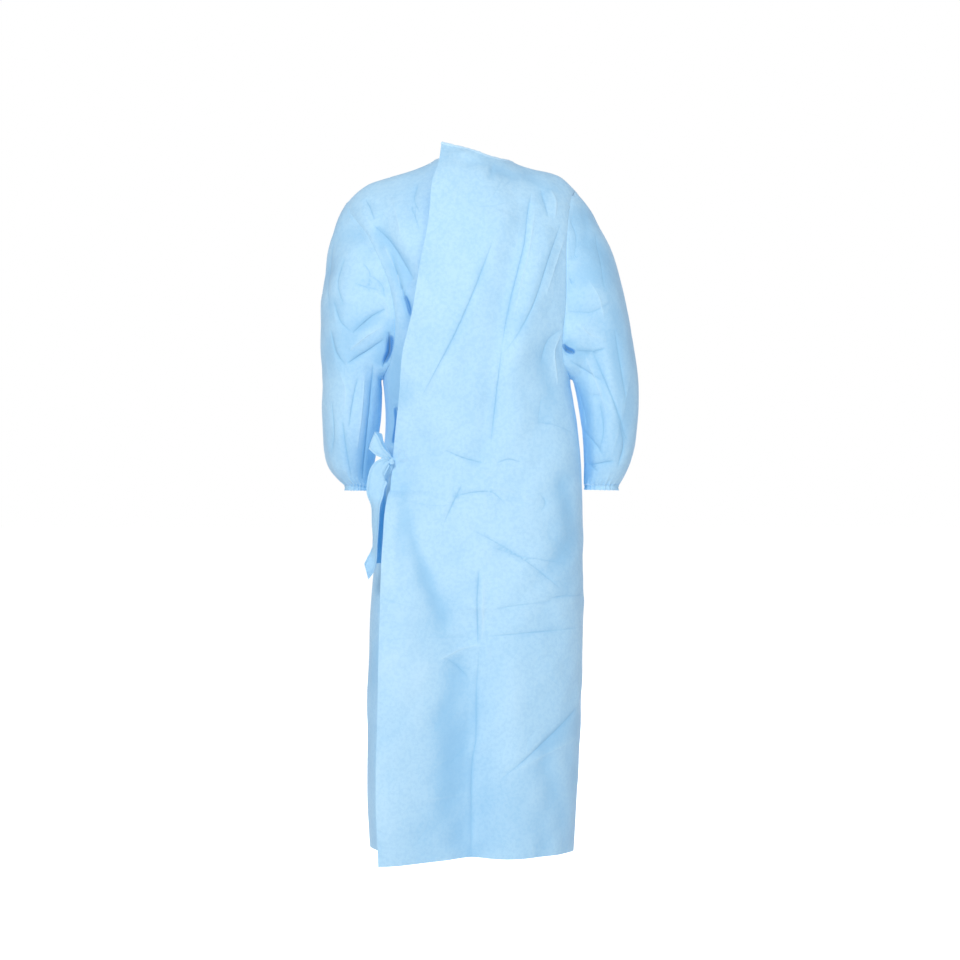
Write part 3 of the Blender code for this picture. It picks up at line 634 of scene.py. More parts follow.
# Painted shade on the under back: shaded areas and very dark pockets, in its colour only
UNDER_PAINTED_SHADE = marked(-0.1,
    (SOFT, 4.5, -24, 393, 406, 395, 420, 391, 444), (SOFT, 5, -15, 404, 294, 408, 306, 410, 318),
    (SOFT, 21, -4.8, 392, 256, 402, 290, 408, 330), (SOFT, 26, -4.8, 394, 320, 396, 400, 390, 470),
) + marked(-0.09,
    (SOFT, 18, -4, 372, 226, 392, 254, 411, 290),
) + marked(-0.06,
    (SOFT, 39, -3.5, 366, 560, 370, 700, 374, 850),
) + marked(-0.08,
    (SOFT, 20, -3, 384, 480, 384, 530, 382, 570),
)
UNDER_CREASES = marked(-0.09,
    (KNIFE, 7, -4.8, 372, 223, 388, 240, 402, 262, 413, 281),
    (KNIFE, 8, 1.8, 392, 196, 398, 222, 402, 240),
) + marked(-0.1,
    (TUCK, 7, -6, 389, 252, 399, 282, 409, 312), (KNIFE, 6, 3, 383, 244, 396, 274, 403, 298),
    (KNIFE, 5, -2.6, 410, 204, 415, 216, 419, 230), (KNIFE, 6, -7, 393, 404, 395, 421, 391, 446),
) + marked(-0.08,
    (KNIFE, 6, -2.4, 418, 180, 414, 198, 420, 214),
) + marked(-0.06,
    (KNIFE, 6, -3.4, 365, 198, 370, 208, 374, 220),
) + placed(
    (SOFT, 14, -3, -165, -700, -150, -900), (SOFT, 12, 2.2, -180, -980, -190, -1300),
    (SOFT, 16, -2.4, 0, -200, -20, -420), (KNIFE, 16, 2.4, -60, -500, -40, -800),
    (KNIFE, 5, -1, -170, -930, -60, -924, 30, -932),
)
# Painted shade on the front, in its colour only
FRONT_PAINTED_SHADE = placed(
    (SOFT, 52, -3, 20, -500, 4, -900, 0, -1380), (SOFT, 44, -3.2, -150, -700, -150, -1000, -140, -1380),
    (SOFT, 39, -3.2, 164, -700, 160, -1000, 160, -1380),
    (SOFT, 31, -2.7, -130, -220, -80, -330, -50, -450), (SOFT, 31, -2.7, 130, -220, 85, -330, 60, -450),
    (SOFT, 36, -2.9, -120, -400, -110, -560),
)
FRONT_CREASES = placed(
    (KNIFE, 7, -2.4, 0, -480, 3, -900, 0, -1400), (KNIFE, 6, 1.8, -104, -560, -100, -1000, -104, -1400),
    (KNIFE, 6, 1.8, 108, -540, 104, -900, 108, -1400), (KNIFE, 5, -1.4, -170, -640, 0, -636, 160, -644),
    (KNIFE, 5, -1.4, -180, -926, 10, -930, 190, -922),
    (KNIFE, 5, -1.2, -170, -1200, 20, -1206, 180, -1198),
    (TUCK, 7.2, -3, -176, -180, -120, -270, -60, -430), (KNIFE, 8, 2.8, -150, -150, -110, -230),
    (TUCK, 7.2, -3, 170, -170, 118, -260, 62, -420), (KNIFE, 10, 3, 148, -300, 100, -420, 90, -520),
    (KNIFE, 8, -2.6, -150, -330, -108, -400, -96, -540),
    (TUCK, 10, -3.6, 154, -390, 130, -430, 128, -520),
    (KNIFE, 6, -2.4, -160, -560, -70, -602, -12, -596), (KNIFE, 6, -2.4, 20, -604, 86, -612, 168, -574),
    (KNIFE, 6, -1.8, -40, -640, -64, -720), (KNIFE, 6, 1.8, 52, -660, 94, -740),
    (SOFT, 10, -2.4, -30, -120, 0, -150, 36, -118), (KNIFE, 12, -2.2, -20, -150, 2, -240),
    (TUCK, 7, -2.6, -60, -1160, -110, -1090, -180, -1040),
    (TUCK, 7, -2.6, 70, -1100, 120, -1040, 186, -1010), (SOFT, 14, 2.4, 40, -1000, 60, -1340),
    (SOFT, 14, -2.8, -140, -960, -130, -1300), (SOFT, 16, -2.6, 150, -760, 156, -1020),
    (SOFT, 16, 2.2, -60, -760, -50, -980),
)
SLEEVE_BACK_CREASES = {
    Side.RIGHT: marked(-0.08,
        (KNIFE, 3, -1.5, 567, 311, 589, 312.5, 600, 308, 611, 302),
        (KNIFE, 6, -9, 562, 343, 567, 350, 574, 353), (TUCK, 4.5, -2.5, 574, 350, 590, 351, 607, 348),
        (KNIFE, 4.5, -2.1, 570, 360, 584, 368, 602, 380), (KNIFE, 6, 1.9, 578, 322, 590, 334, 607, 340),
    ) + marked(-0.07,
        (KNIFE, 3, -1, 568, 260, 580, 256), (KNIFE, 3, 0.9, 571, 267, 578, 266),
        (KNIFE, 2.3, -1.9, 569, 279, 572, 285), (KNIFE, 6, -1.2, 569, 216, 576, 240, 573, 262),
        (TUCK, 5.3, -2.2, 592, 351, 605, 380, 617, 408, 629, 440),
        (KNIFE, 6.7, 1.9, 586, 356, 598, 386, 608, 414), (KNIFE, 3, -1.1, 591, 394, 600, 395),
        (KNIFE, 4.5, -1.6, 582, 425, 594, 440, 606, 457),
        (KNIFE, 6.7, -1.6, 600, 402, 604, 430, 600, 452),
        (KNIFE, 6, -1.7, 579, 380, 586, 410, 590, 432),
    ) + marked(-0.06,
        (SOFT, 6.7, -1.2, 582, 204, 586, 226, 584, 250),
        (KNIFE, 5.3, 1.5, 588, 282, 598, 298, 604, 318), (KNIFE, 4.5, -3, 590, 465, 602, 463, 615, 461),
        (KNIFE, 3.7, -1.6, 588, 462, 600, 472),
    ) + marked(-0.05,
        (KNIFE, 7.5, -1, 594, 232, 600, 262, 604, 292),
    ) + marked(-0.04,
        (KNIFE, 7.5, -1.6, 614, 330, 620, 366, 626, 400),
        (KNIFE, 6, -1.9, 618, 420, 624, 444, 618, 468),
    ),
    Side.LEFT: marked(-0.08,
        (KNIFE, 3, -1.5, 354, 283, 366, 287, 379, 290),
        (TUCK, 6.7, -4.3, 387, 308, 372, 316, 361, 325, 352, 333),
        (KNIFE, 4.5, -4.3, 384, 339, 368, 350, 358, 356, 347, 363),
        (KNIFE, 6, 3, 384, 326, 366, 337, 350, 350), (KNIFE, 6, -9.5, 389, 332, 389, 350, 382, 366),
        (KNIFE, 3.7, -1.7, 372, 276, 382, 286, 386, 302),
        (KNIFE, 3.7, 1.4, 376, 292, 384, 300, 389, 318),
        (KNIFE, 5.3, -1.6, 362, 262, 370, 274, 368, 292),
    ) + marked(-0.07,
        (KNIFE, 6, -1.9, 352, 333, 341, 322, 333, 300),
        (TUCK, 4.5, -3.6, 372.5, 364, 370, 400, 366, 440, 361, 480),
        (KNIFE, 6, 2.2, 364, 372, 361, 410, 356, 450), (KNIFE, 6, -2.1, 358, 376, 352, 402, 348, 428),
    ) + marked(-0.06,
        (TUCK, 6, -2.2, 331, 330, 336, 352, 346, 366), (KNIFE, 7.5, -1.7, 345, 258, 338, 284, 344, 306),
        (KNIFE, 6, -1.9, 342, 420, 345, 446, 350, 476), (KNIFE, 6, 1.5, 340, 372, 346, 392, 344, 414),
    ) + marked(-0.05,
        (KNIFE, 6.7, -2, 352, 204, 358, 222, 368, 240),
    ) + marked(-0.04,
        (KNIFE, 9, -1.6, 334, 240, 328, 280, 330, 310),
        (KNIFE, 7.5, -1.7, 332, 400, 334, 430, 330, 456),
    ),
}
# Painted shade on the sleeves' backs, in their colour only
SLEEVE_PAINTED_SHADE = {
    Side.RIGHT: marked(-0.06,
        (SOFT, 34, -3, 582, 200, 590, 250, 592, 300),
    ) + marked(-0.08,
        (SOFT, 14, -4, 566, 330, 574, 350, 590, 356), (SOFT, 5, -19, 562, 343, 567, 349, 576, 352),
        (SOFT, 12, -4, 577, 372, 590, 420, 590, 480),
    ) + marked(-0.03,
        (SOFT, 20, -2.4, 604, 250, 618, 360, 620, 470),
    ),
    Side.LEFT: marked(-0.08,
        (SOFT, 14, -6, 392, 318, 388, 345, 374, 366), (SOFT, 6, -13, 393, 334, 390, 350, 383, 364),
        (SOFT, 10, -3, 356, 330, 368, 324, 384, 312),
    ) + marked(-0.06,
        (SOFT, 34, -2.6, 350, 300, 340, 330, 334, 380),
    ) + marked(-0.07,
        (SOFT, 10, -3, 370, 376, 366, 430, 360, 482),
    ),
}
SLEEVE_FRONT_CREASES = {
    Side.RIGHT: placed(
        (TUCK, 7.5, -3.1, 180, -300, 216, -330, 252, -350),
        (KNIFE, 4.5, -2.5, 190, -360, 226, -372, 262, -366),
        (TUCK, 5.3, -2.5, 196, -410, 236, -436, 280, -446),
        (KNIFE, 9, -2.1, 230, -150, 246, -230, 252, -290),
        (KNIFE, 7.5, -1.9, 262, -470, 282, -530, 286, -590),
        (KNIFE, 6, -1.9, 212, -500, 226, -560, 246, -610),
        (KNIFE, 9, 1.7, 226, -430, 246, -500, 250, -550),
        (KNIFE, 3.7, -1.4, 206, -330, 238, -318, 270, -290),
        (KNIFE, 6.7, -1.9, 190, -220, 214, -262, 220, -310),
    ),
    Side.LEFT: placed(
        (TUCK, 7.5, -3.1, -176, -310, -214, -336, -250, -344),
        (KNIFE, 4.5, -2.5, -184, -372, -222, -384, -262, -372),
        (TUCK, 5.3, -2.5, -192, -424, -228, -452, -268, -470),
        (KNIFE, 9, -2.1, -244, -160, -256, -240, -262, -310),
        (KNIFE, 7.5, -1.9, -240, -480, -256, -540, -262, -596),
        (KNIFE, 6, -1.9, -200, -500, -212, -560, -222, -616), (KNIFE, 9, 1.7, -268, -400, -270, -470),
        (KNIFE, 6, -2, -196, -250, -226, -276, -240, -330),
        (KNIFE, 3.7, -1.4, -200, -352, -236, -340, -266, -310),
    ),
}


@dataclass(frozen=True)
class GownForm:
    """The gown's plain form: sections of the body, rounded over at the shoulders."""

    squareness: float = 2.3
    back_rounding: float = 0.18
    front_rounding: float = 0.16
    armpit_z: float = -0.44
    hem_z: float = -1.346
    neck_half_width: float = 0.076
    neck_corner_x: float = -0.062
    hidden_edge_x: float = 0.050

    def section_half(self, z: Any, x: Any, wrap: bool) -> tuple[Array, Array]:
        """Half width of the section at a height on the side of x, and the middle it is measured from."""
        right, left = smooth(SECTIONS, "right", z), smooth(SECTIONS, "left", z)
        middle = (right + left) / 2
        left_half = smooth(SECTIONS, "reach", z) if wrap else middle - left
        return np.where(x >= middle, right - middle, left_half), middle

    def depth_share(self, x: Any, z: Any, wrap: bool = False) -> Array:
        """How much of its full depth a section has at x: 1 in the middle, 0 at the side."""
        half, middle = self.section_half(z, x, wrap)
        across = np.clip(np.abs(x - middle) / half, 0, 1)
        return (1 - across**self.squareness) ** (1 / self.squareness)

    @staticmethod
    def rounded(drop: Any, rounding: float) -> Array:
        """How much of its depth the cloth has reached at a drop below the shoulder line."""
        left = 1 - np.clip(drop / rounding, 0, 1)
        return np.sqrt(1 - left**2)

    def wrap_y(self, x: Any, z: Any) -> Array:
        """The outer back panel's depth."""
        full = smooth(SECTIONS, "outer", z) * self.depth_share(x, z, wrap=True)
        return -full * self.rounded(smooth(WRAP_LINE, "z", x) - z, self.back_rounding)

    def under_y(self, x: Any, z: Any) -> Array:
        """The under back panel's depth."""
        full = smooth(SECTIONS, "under", z) * self.depth_share(x, z)
        return -full * self.rounded(smooth(SHOULDER_LINE, "z", x) - z, self.back_rounding)

    def front_y(self, x: Any, z: Any) -> Array:
        """The front panel's depth."""
        full = smooth(SECTIONS, "front", z) * self.depth_share(x, z)
        return full * self.rounded(smooth(SHOULDER_LINE, "z", x) - z, self.front_rounding)

    def top_z(self, neckline: Sequence[Ridge], x: Any) -> Array:
        """Height of a panel's top edge: the shoulder line outside the neck, its neckline inside it."""
        inside = (x > neckline[0].x - 1e-6) & (x < neckline[-1].x + 1e-6)
        return np.where(inside, smooth(neckline, "z", x), smooth(SHOULDER_LINE, "z", x))

    def wrap_top(self, x: Any) -> Array:
        """The wrap panel's top edge, level beyond its corner so that its free edge meets it."""
        return np.where(x < self.neck_corner_x + 1e-6, BACK_NECKLINE[0].z, self.top_z(BACK_NECKLINE, x))

    def armhole_x(self, share: float, side: Side) -> float:
        """How far out the armhole lies at a share of the way up from armpit to shoulder."""
        z = self.armpit_z + (smooth(SHOULDER_LINE, "z", SHOULDER_X[side]) - self.armpit_z) * share
        seam = smooth(SECTIONS, side.name.lower(), z)
        middle = (smooth(SECTIONS, "right", z) + smooth(SECTIONS, "left", z)) / 2
        return float(middle + (seam - middle) * smooth(ARMHOLES[side], "width", share))


@dataclass(frozen=True)
class Crumple:
    """Soft uneven dents all over a piece of cloth, and short light creases between them.

    Attributes:
        seed: fixes the draws.
        dents: how many long waves are added up.
        dent_height: the waves' height.
        nicks: how many short creases there are.
        nick_height: the deepest short crease.
    """

    seed: int
    dents: int = 14
    dent_height: float = 0.0013
    nicks: int = 70
    nick_height: float = 0.0011

    def field(self, across: Array, down: Array) -> CreaseField:
        """The dents and short creases at places on the cloth.

        Args:
            across: distances across the cloth.
            down: distances down the cloth.

        Returns:
            What they do there.
        """
        draw = np.random.default_rng(self.seed)
        total = np.zeros(across.shape)
        for _ in range(self.dents):
            length, angle, phase = draw.uniform(0.05, 0.19), draw.uniform(-0.9, 0.9), draw.uniform(0, 2 * math.pi)
            turn = 2 * math.pi / length
            wander = 1.1 * np.sin(across * draw.uniform(9, 26) + phase) + 0.9 * np.sin(down * draw.uniform(6, 18) + angle)
            wave = np.sin(turn * (across * math.cos(angle) + down * math.sin(angle)) + phase + wander)
            total += np.arcsin(0.985 * wave) * (0.55 + 0.45 * np.sin(down * draw.uniform(5, 15) + 3 * phase))
        low, high = across.min(), across.max()
        bottom, top = down.min(), down.max()
        short = []
        for _ in range(self.nicks):
            x, z = draw.uniform(low, high), draw.uniform(bottom, top)
            length, angle = draw.uniform(0.018, 0.085), draw.uniform(0, math.pi)
            run = np.array([math.cos(angle), math.sin(angle)]) * length / 2
            depth = draw.uniform(0.3, 1.0) * self.nick_height * draw.choice([-1.0, 1.0])
            ends = ((x - run[0], z - run[1]), (x + run[0], z + run[1]))
            short.append(Crease(ends, draw.uniform(0.004, 0.009), depth, Relief.KNIFE, bow=length * draw.uniform(-0.1, 0.1)))
        made = CreaseField.of(short, across, down)
        made.height += total * self.dent_height / math.sqrt(self.dents)
        return made


def cloth_distances(points: Array) -> tuple[Array, Array]:
    """Distances on the cloth itself: across each row from its middle, and down each column from its foot."""
    steps = np.linalg.norm(np.diff(points, axis=1), axis=2)
    across = np.concatenate([np.zeros((len(points), 1)), np.cumsum(steps, axis=1)], axis=1)
    across -= across[:, -1:] / 2
    rises = np.linalg.norm(np.diff(points, axis=0), axis=2)
    down = np.concatenate([np.zeros((1, points.shape[1])), np.cumsum(rises, axis=0)], axis=0)
    return across, down


def shell(
    name: str,
    grid: Array,
    thickness: float,
    closed: bool = False,
    creasing: CreaseField | None = None,
    square_seams: float = 0.0,
) -> bpy.types.Object:
    """A thin closed wall about a grid of points, with its own distances on the cloth as its UV map.

    Args:
        name: the piece's name.
        grid: rows of points.
        thickness: the cloth's thickness.
        closed: whether each row's end meets its start.
        creasing: the creases at each point, which the finish reads.
        square_seams: a wall edge this near the side seam plane is cut square to it.

    Returns:
        The new object.
    """
    rows, columns = grid.shape[:2]
    normals = surface_normals(grid, closed)
    if square_seams:
        at_seam = np.abs(grid[..., 1]) < square_seams
        normals[..., 1] = np.where(at_seam, 0.0, normals[..., 1])
        normals = unit(normals)
    layers = [grid + normals * side * thickness / 2 for side in (1, -1)]
    points = np.concatenate([layer.reshape(-1, 3) for layer in layers])
    index = np.arange(rows * columns).reshape(rows, columns)
    turned = np.concatenate([index, index[:, :1]], axis=1) if closed else index
    quads = np.stack([turned[:-1, :-1], turned[:-1, 1:], turned[1:, 1:], turned[1:, :-1]], axis=-1).reshape(-1, 4)
    inner = rows * columns
    faces = [quads[:, ::-1], quads + inner]
    rims = [(turned[0], 1), (turned[-1], -1)]
    if not closed:
        rims += [(index[:, 0], -1), (index[:, -1], 1)]
    sharp = []
    for rim, turn in rims:
        strip = np.stack([rim[:-1], rim[1:], rim[1:] + inner, rim[:-1] + inner], axis=-1)
        faces.append(strip[:, ::turn])
        sharp += [np.stack([rim[:-1], rim[1:]], axis=-1) + shift for shift in (0, inner)]
    mesh = bpy.data.meshes.new(name)
    mesh.from_pydata(points.tolist(), [], np.concatenate(faces).tolist())
    mesh.update()
    outward(mesh)
    mesh.shade_smooth()
    mark_sharp(mesh, np.concatenate(sharp))
    across, down = cloth_distances(np.concatenate([grid, grid[:, :1]], axis=1) if closed else grid)
    flat = np.stack([across[:, :columns].ravel(), down[:, :columns].ravel()], axis=1)
    add_uv(mesh, np.concatenate([flat, flat]))
    level = np.zeros((rows, columns))
    creasing = creasing or CreaseField(level, level + FAR_LINE, level)
    # The fold attribute also carries painted shade, which the finish paints into the colour
    for label, values in (("fold", creasing.height), ("gap", creasing.gap), ("line", creasing.line)):
        attribute = mesh.attributes.new(label, "FLOAT", "POINT")
        attribute.data.foreach_set("value", np.tile(values.ravel(), 2).astype(np.float32))
    piece = bpy.data.objects.new(name, mesh)
    bpy.context.scene.collection.objects.link(piece)
    return piece


def outward(mesh: bpy.types.Mesh) -> None:
    """Turns a closed mesh's faces over if they point inwards."""
    corners = np.zeros(len(mesh.vertices) * 3)
    mesh.vertices.foreach_get("co", corners)
    corners = corners.reshape(-1, 3)
    mesh.calc_loop_triangles()
    triangles = np.zeros(len(mesh.loop_triangles) * 3, dtype=np.int32)
    mesh.loop_triangles.foreach_get("vertices", triangles)
    a, b, c = (corners[triangles.reshape(-1, 3)[:, i]] for i in range(3))
    if (a * np.cross(b, c)).sum() < 0:
        mesh.flip_normals()


def mark_sharp(mesh: bpy.types.Mesh, pairs: Array) -> None:
    """Marks the edges between pairs of points as sharp."""
    count = len(mesh.vertices)
    ends = np.zeros(len(mesh.edges) * 2, dtype=np.int64)
    mesh.edges.foreach_get("vertices", ends)
    ends = np.sort(ends.reshape(-1, 2), axis=1)
    wanted = np.sort(pairs, axis=1)
    found = np.isin(ends[:, 0] * count + ends[:, 1], wanted[:, 0] * count + wanted[:, 1])
    attribute = mesh.attributes.new("sharp_edge", "BOOLEAN", "EDGE")
    attribute.data.foreach_set("value", found)


def add_uv(mesh: bpy.types.Mesh, flat: Array) -> None:
    """Gives a mesh the UV map "cloth" from a pair of distances for each point."""
    layer = mesh.uv_layers.new(name="cloth")
    corners = np.zeros(len(mesh.loops), dtype=np.int32)
    mesh.loops.foreach_get("vertex_index", corners)
    layer.data.foreach_set("uv", flat[corners].astype(np.float32).ravel())


@dataclass
class BodyPanel:
    """One panel of the gown's body, from hem to neck and shoulder.

    Attributes:
        node: the solid that it replaces.
        form: the gown's plain form.
        depth: the panel's depth at (x, z).
        top: the height of its top edge at x.
        right_end: where its right end is: a side seam, or a free edge's table.
        left_end: where its left end is.
        hem: how its hem hangs.
        neck: its neckline's table.
        neck_x: where the neckline meets the shoulder seam, if it does.
        middle_x: where its columns are counted from.
        forward: 1 for the front, -1 for the back.
        folds: its large folds.
        creases: its finer creases.
        shades: soft shaded areas painted darker into its colour, with no fold in its form.
        crumple: its small dents.
        columns: how many cells it has across.
        more_nodes: the other solids that it replaces.
    """

    node: str
    form: GownForm
    depth: Callable[[Any, Any], Array]
    top: Callable[[Any], Array]
    right_end: Side | tuple[Edge, ...]
    left_end: Side | tuple[Edge, ...]
    hem: tuple[Hang, ...]
    neck: tuple[Ridge, ...]
    neck_x: tuple[float, ...]
    middle_x: float
    forward: float
    folds: tuple[Crease, ...]
    creases: tuple[Crease, ...]
    shades: tuple[Crease, ...]
    crumple: Crumple
    columns: int
    more_nodes: tuple[str, ...] = ()
    wrap: bool = False
    rows_below: int = 210
    rows_above: int = 112
    armpit_ease: float = 0.07
    column_ease: float = 0.035
    end_power: float = 12.0
    fold_fade: float = 0.050
    crease_fade: float = 0.012
    tuck: float = 0.0008
    tuck_reach: float = 0.004
    # how strongly the large folds' troughs are painted as shade into the colour
    fold_tint: float = 0.05
    samples: int = 500
    grid: Array = field(init=False)
    creasing: CreaseField = field(init=False)

    def __post_init__(self) -> None:
        """Works out the panel's points."""
        self.creased(*self.plain())

    def end_x(self, end: Side | tuple[Edge, ...], share: float, z: float | None) -> float:
        """Where a row ends: on the side seam or armhole, or on a free edge."""
        if isinstance(end, Side):
            if z is None:
                return self.form.armhole_x(share, end)
            return float(smooth(SECTIONS, end.name.lower(), z))
        if z is None:
            z = self.form.armpit_z + (end[-1].z - self.form.armpit_z) * share
        return float(smooth(end, "x", z))

    def fine_row(self, share: float, z: float | None) -> Array:
        """A row of the panel from its right end to its left end, sampled finely.

        Args:
            share: how far the row is up from armpit to top edge, where it is above the armpit.
            z: the row's height, where it is below the armpit.

        Returns:
            The row's points.
        """
        form = self.form
        x_right, x_left = self.end_x(self.right_end, share, z), self.end_x(self.left_end, share, z)

        def height(x: Array) -> Array:
            if z is not None:
                return np.full(np.shape(x), z)
            return form.armpit_z + (self.top(x) - form.armpit_z) * share

        power = form.squareness / 2
        halves, angles = [], []
        for x_end in (x_right, x_left):
            half, middle = form.section_half(height(np.array([x_end]))[0], x_end, self.wrap)
            reach = float(np.clip((x_end - middle) / half, -1, 1))
            angles.append(math.acos(math.copysign(abs(reach) ** power, reach)))
            halves.append(half)
        cosine = np.cos(np.linspace(angles[0], angles[1], self.samples))
        reach = np.sign(cosine) * np.abs(cosine) ** (1 / power)
        x = middle + reach * np.where(reach >= 0, halves[0], halves[1])
        x[0], x[-1] = x_right, x_left
        z_row = height(x)
        return np.stack([x, self.depth(x, z_row), z_row], axis=1)

    def eased(self, reach: Array, level: Array) -> Array:
        """Evens out how far rows reach, so that columns pass the armpit without a bend."""
        near = np.exp(-(((level[:, None] - level) / self.column_ease) ** 2) / 2) * np.gradient(level)
        return near @ reach / near.sum(axis=1)

    def plain(self) -> tuple[Array, Array]:
        """Works out the panel's points before it is creased.

        Returns:
            The points in rows from hem to top edge, and how far across its row each point lies.
        """
        form = self.form
        below = np.linspace(form.hem_z, form.armpit_z, self.rows_below + 1)[:-1]
        climb = np.linspace(0, 1, self.rows_above + 1)
        shares = climb**2 / (climb + self.armpit_ease) * (1 + self.armpit_ease)
        rows = [self.fine_row(0.0, float(z)) for z in below] + [self.fine_row(float(s), None) for s in shares]
        share = np.concatenate([np.zeros(len(below)), shares])
        level = np.concatenate([below, form.armpit_z + (self.top(self.middle_x) - form.armpit_z) * shares])
        lengths = [row_lengths(row) for row in rows]
        middle = np.array([np.interp(-self.middle_x, -row[:, 0], reach) for row, reach in zip(rows, lengths)])
        ends = np.array([reach[-1] for reach in lengths])
        right_cells = round(self.columns * middle[0] / ends[0])
        place = []
        for reach, steps, sign in (
            (middle, np.linspace(1, 0, right_cells + 1)[:-1], -1.0),
            (ends - middle, np.linspace(0, 1, self.columns - right_cells + 1), 1.0),
        ):
            even = self.eased(reach, level)
            across = np.outer(even, steps) + np.outer(reach - even, steps**self.end_power)
            place.append(middle[:, None] + sign * across)
        place = np.concatenate(place, axis=1)
        place = self.to_neck(place, rows[-1], lengths[-1], share)
        points = np.array([
            np.stack([np.interp(at, reach, row[:, i]) for i in range(3)], axis=1)
            for at, reach, row in zip(place, lengths, rows)
        ])
        low = np.clip(1 - (points[..., 2] - form.hem_z) / (form.armpit_z - form.hem_z), 0, 1)
        points[..., 2] -= smooth(self.hem, "drop", place[0] / ends[0]) * low
        return points, place - middle[:, None]

    def to_neck(self, place: Array, top_row: Array, reach: Array, share: Array) -> Array:
        """Shifts columns so that one ends at each corner of the neck.

        Args:
            place: how far along its row each point lies.
            top_row: the points of the top edge.
            reach: how far along it those points lie.
            share: how far each row is up from armpit to top edge.

        Returns:
            The shifted places.
        """
        count = place.shape[1]
        marks, shifts = [0, count - 1], [0.0, 0.0]
        for x in self.neck_x:
            at = float(np.interp(-x, -top_row[:, 0], reach))
            nearest = int(np.abs(place[-1] - at).argmin())
            marks.append(nearest)
            shifts.append(at - place[-1, nearest])
        order = np.argsort(marks)
        shift = np.interp(np.arange(count), np.array(marks)[order], np.array(shifts)[order])
        return place + np.outer(share**2, shift)

    def normals(self, points: Array) -> Array:
        """The plain form's own normals, away from the body."""
        x, z, step = points[..., 0], points[..., 2], 1e-4
        slope_x = (self.depth(x + step, z) - self.depth(x - step, z)) / (2 * step)
        slope_z = (self.depth(x, z + step) - self.depth(x, z - step)) / (2 * step)
        away = self.forward * np.stack([-slope_x, np.ones(x.shape), -slope_z], axis=-1)
        at_seam = np.abs(points[..., 1]) < 1e-5
        away[..., 1] = np.where(at_seam, 0.0, away[..., 1])
        return unit(away)

    def creased(self, points: Array, across: Array) -> None:
        """Moves the points out by the folds, which die away at sewn edges, and turns sewn edges in."""
        down = np.cumsum(np.linalg.norm(np.diff(points, axis=0, prepend=points[:1]), axis=2), axis=0)
        seams = [points[:, i] for i, end in ((0, self.right_end), (-1, self.left_end)) if isinstance(end, Side)]
        top = points[-1]
        neck = (top[:, 0] > self.neck[0].x - 1e-4) & (top[:, 0] < self.neck[-1].x + 1e-4)
        if (~neck).any():
            seams.append(top[~neck])
        to_seam = np.minimum.reduce([distance_to(points, seam) for seam in seams])
        to_edge = np.minimum(to_seam, distance_to(points, top))
        x, z = points[..., 0], points[..., 2]
        folds = CreaseField.of(self.folds, x, z).height * smoothstep(0, self.fold_fade, to_edge)
        fine = CreaseField.of(self.creases, x, z).plus(self.crumple.field(across, down))
        fine = fine.faded(smoothstep(0, self.crease_fade, to_edge))
        tuck = self.tuck * (1 - np.clip(to_seam / self.tuck_reach, 0, 1)) ** 2
        self.grid = points + self.normals(points) * (folds + fine.height - tuck)[..., None]
        # Painted shade: the shade table and the large folds' troughs darken only the colour, through the creasing
        shade = CreaseField.of(self.shades, x, z).height + folds * self.fold_tint
        self.creasing = CreaseField(fine.height - tuck + shade, fine.gap, fine.line)
        if self.forward > 0:
            self.grid, self.creasing = self.grid[:, ::-1], self.creasing.mirrored()

    def build(self, cloth: bpy.types.Material, thickness: float) -> bpy.types.Object:
        """Makes the panel's thin cloth."""
        piece = shell(self.node, self.grid, thickness, creasing=self.creasing, square_seams=self.tuck / 2)
        piece.data.materials.append(cloth)
        return piece


def distance_to(points: Array, line: Array) -> Array:
    """How far each point of a grid is from the nearest point of a line."""
    return np.array([np.linalg.norm(row[:, None] - line, axis=2).min(axis=1) for row in points])


def armhole_loop(front: BodyPanel, back: BodyPanel, side: Side, half_count: int = 100) -> Array:
    """The armhole as even points: down its back edge from shoulder to armpit, then up its front."""
    first = back.rows_below
    front_edge = front.grid[first:, -1 if side is Side.RIGHT else 0]
    back_edge = back.grid[first:, 0 if side is Side.RIGHT else -1]
    even = np.linspace(0, 1, half_count + 1)
    return np.concatenate([at_shares(back_edge[::-1], even)[:-1], at_shares(front_edge, even)[:-1]])


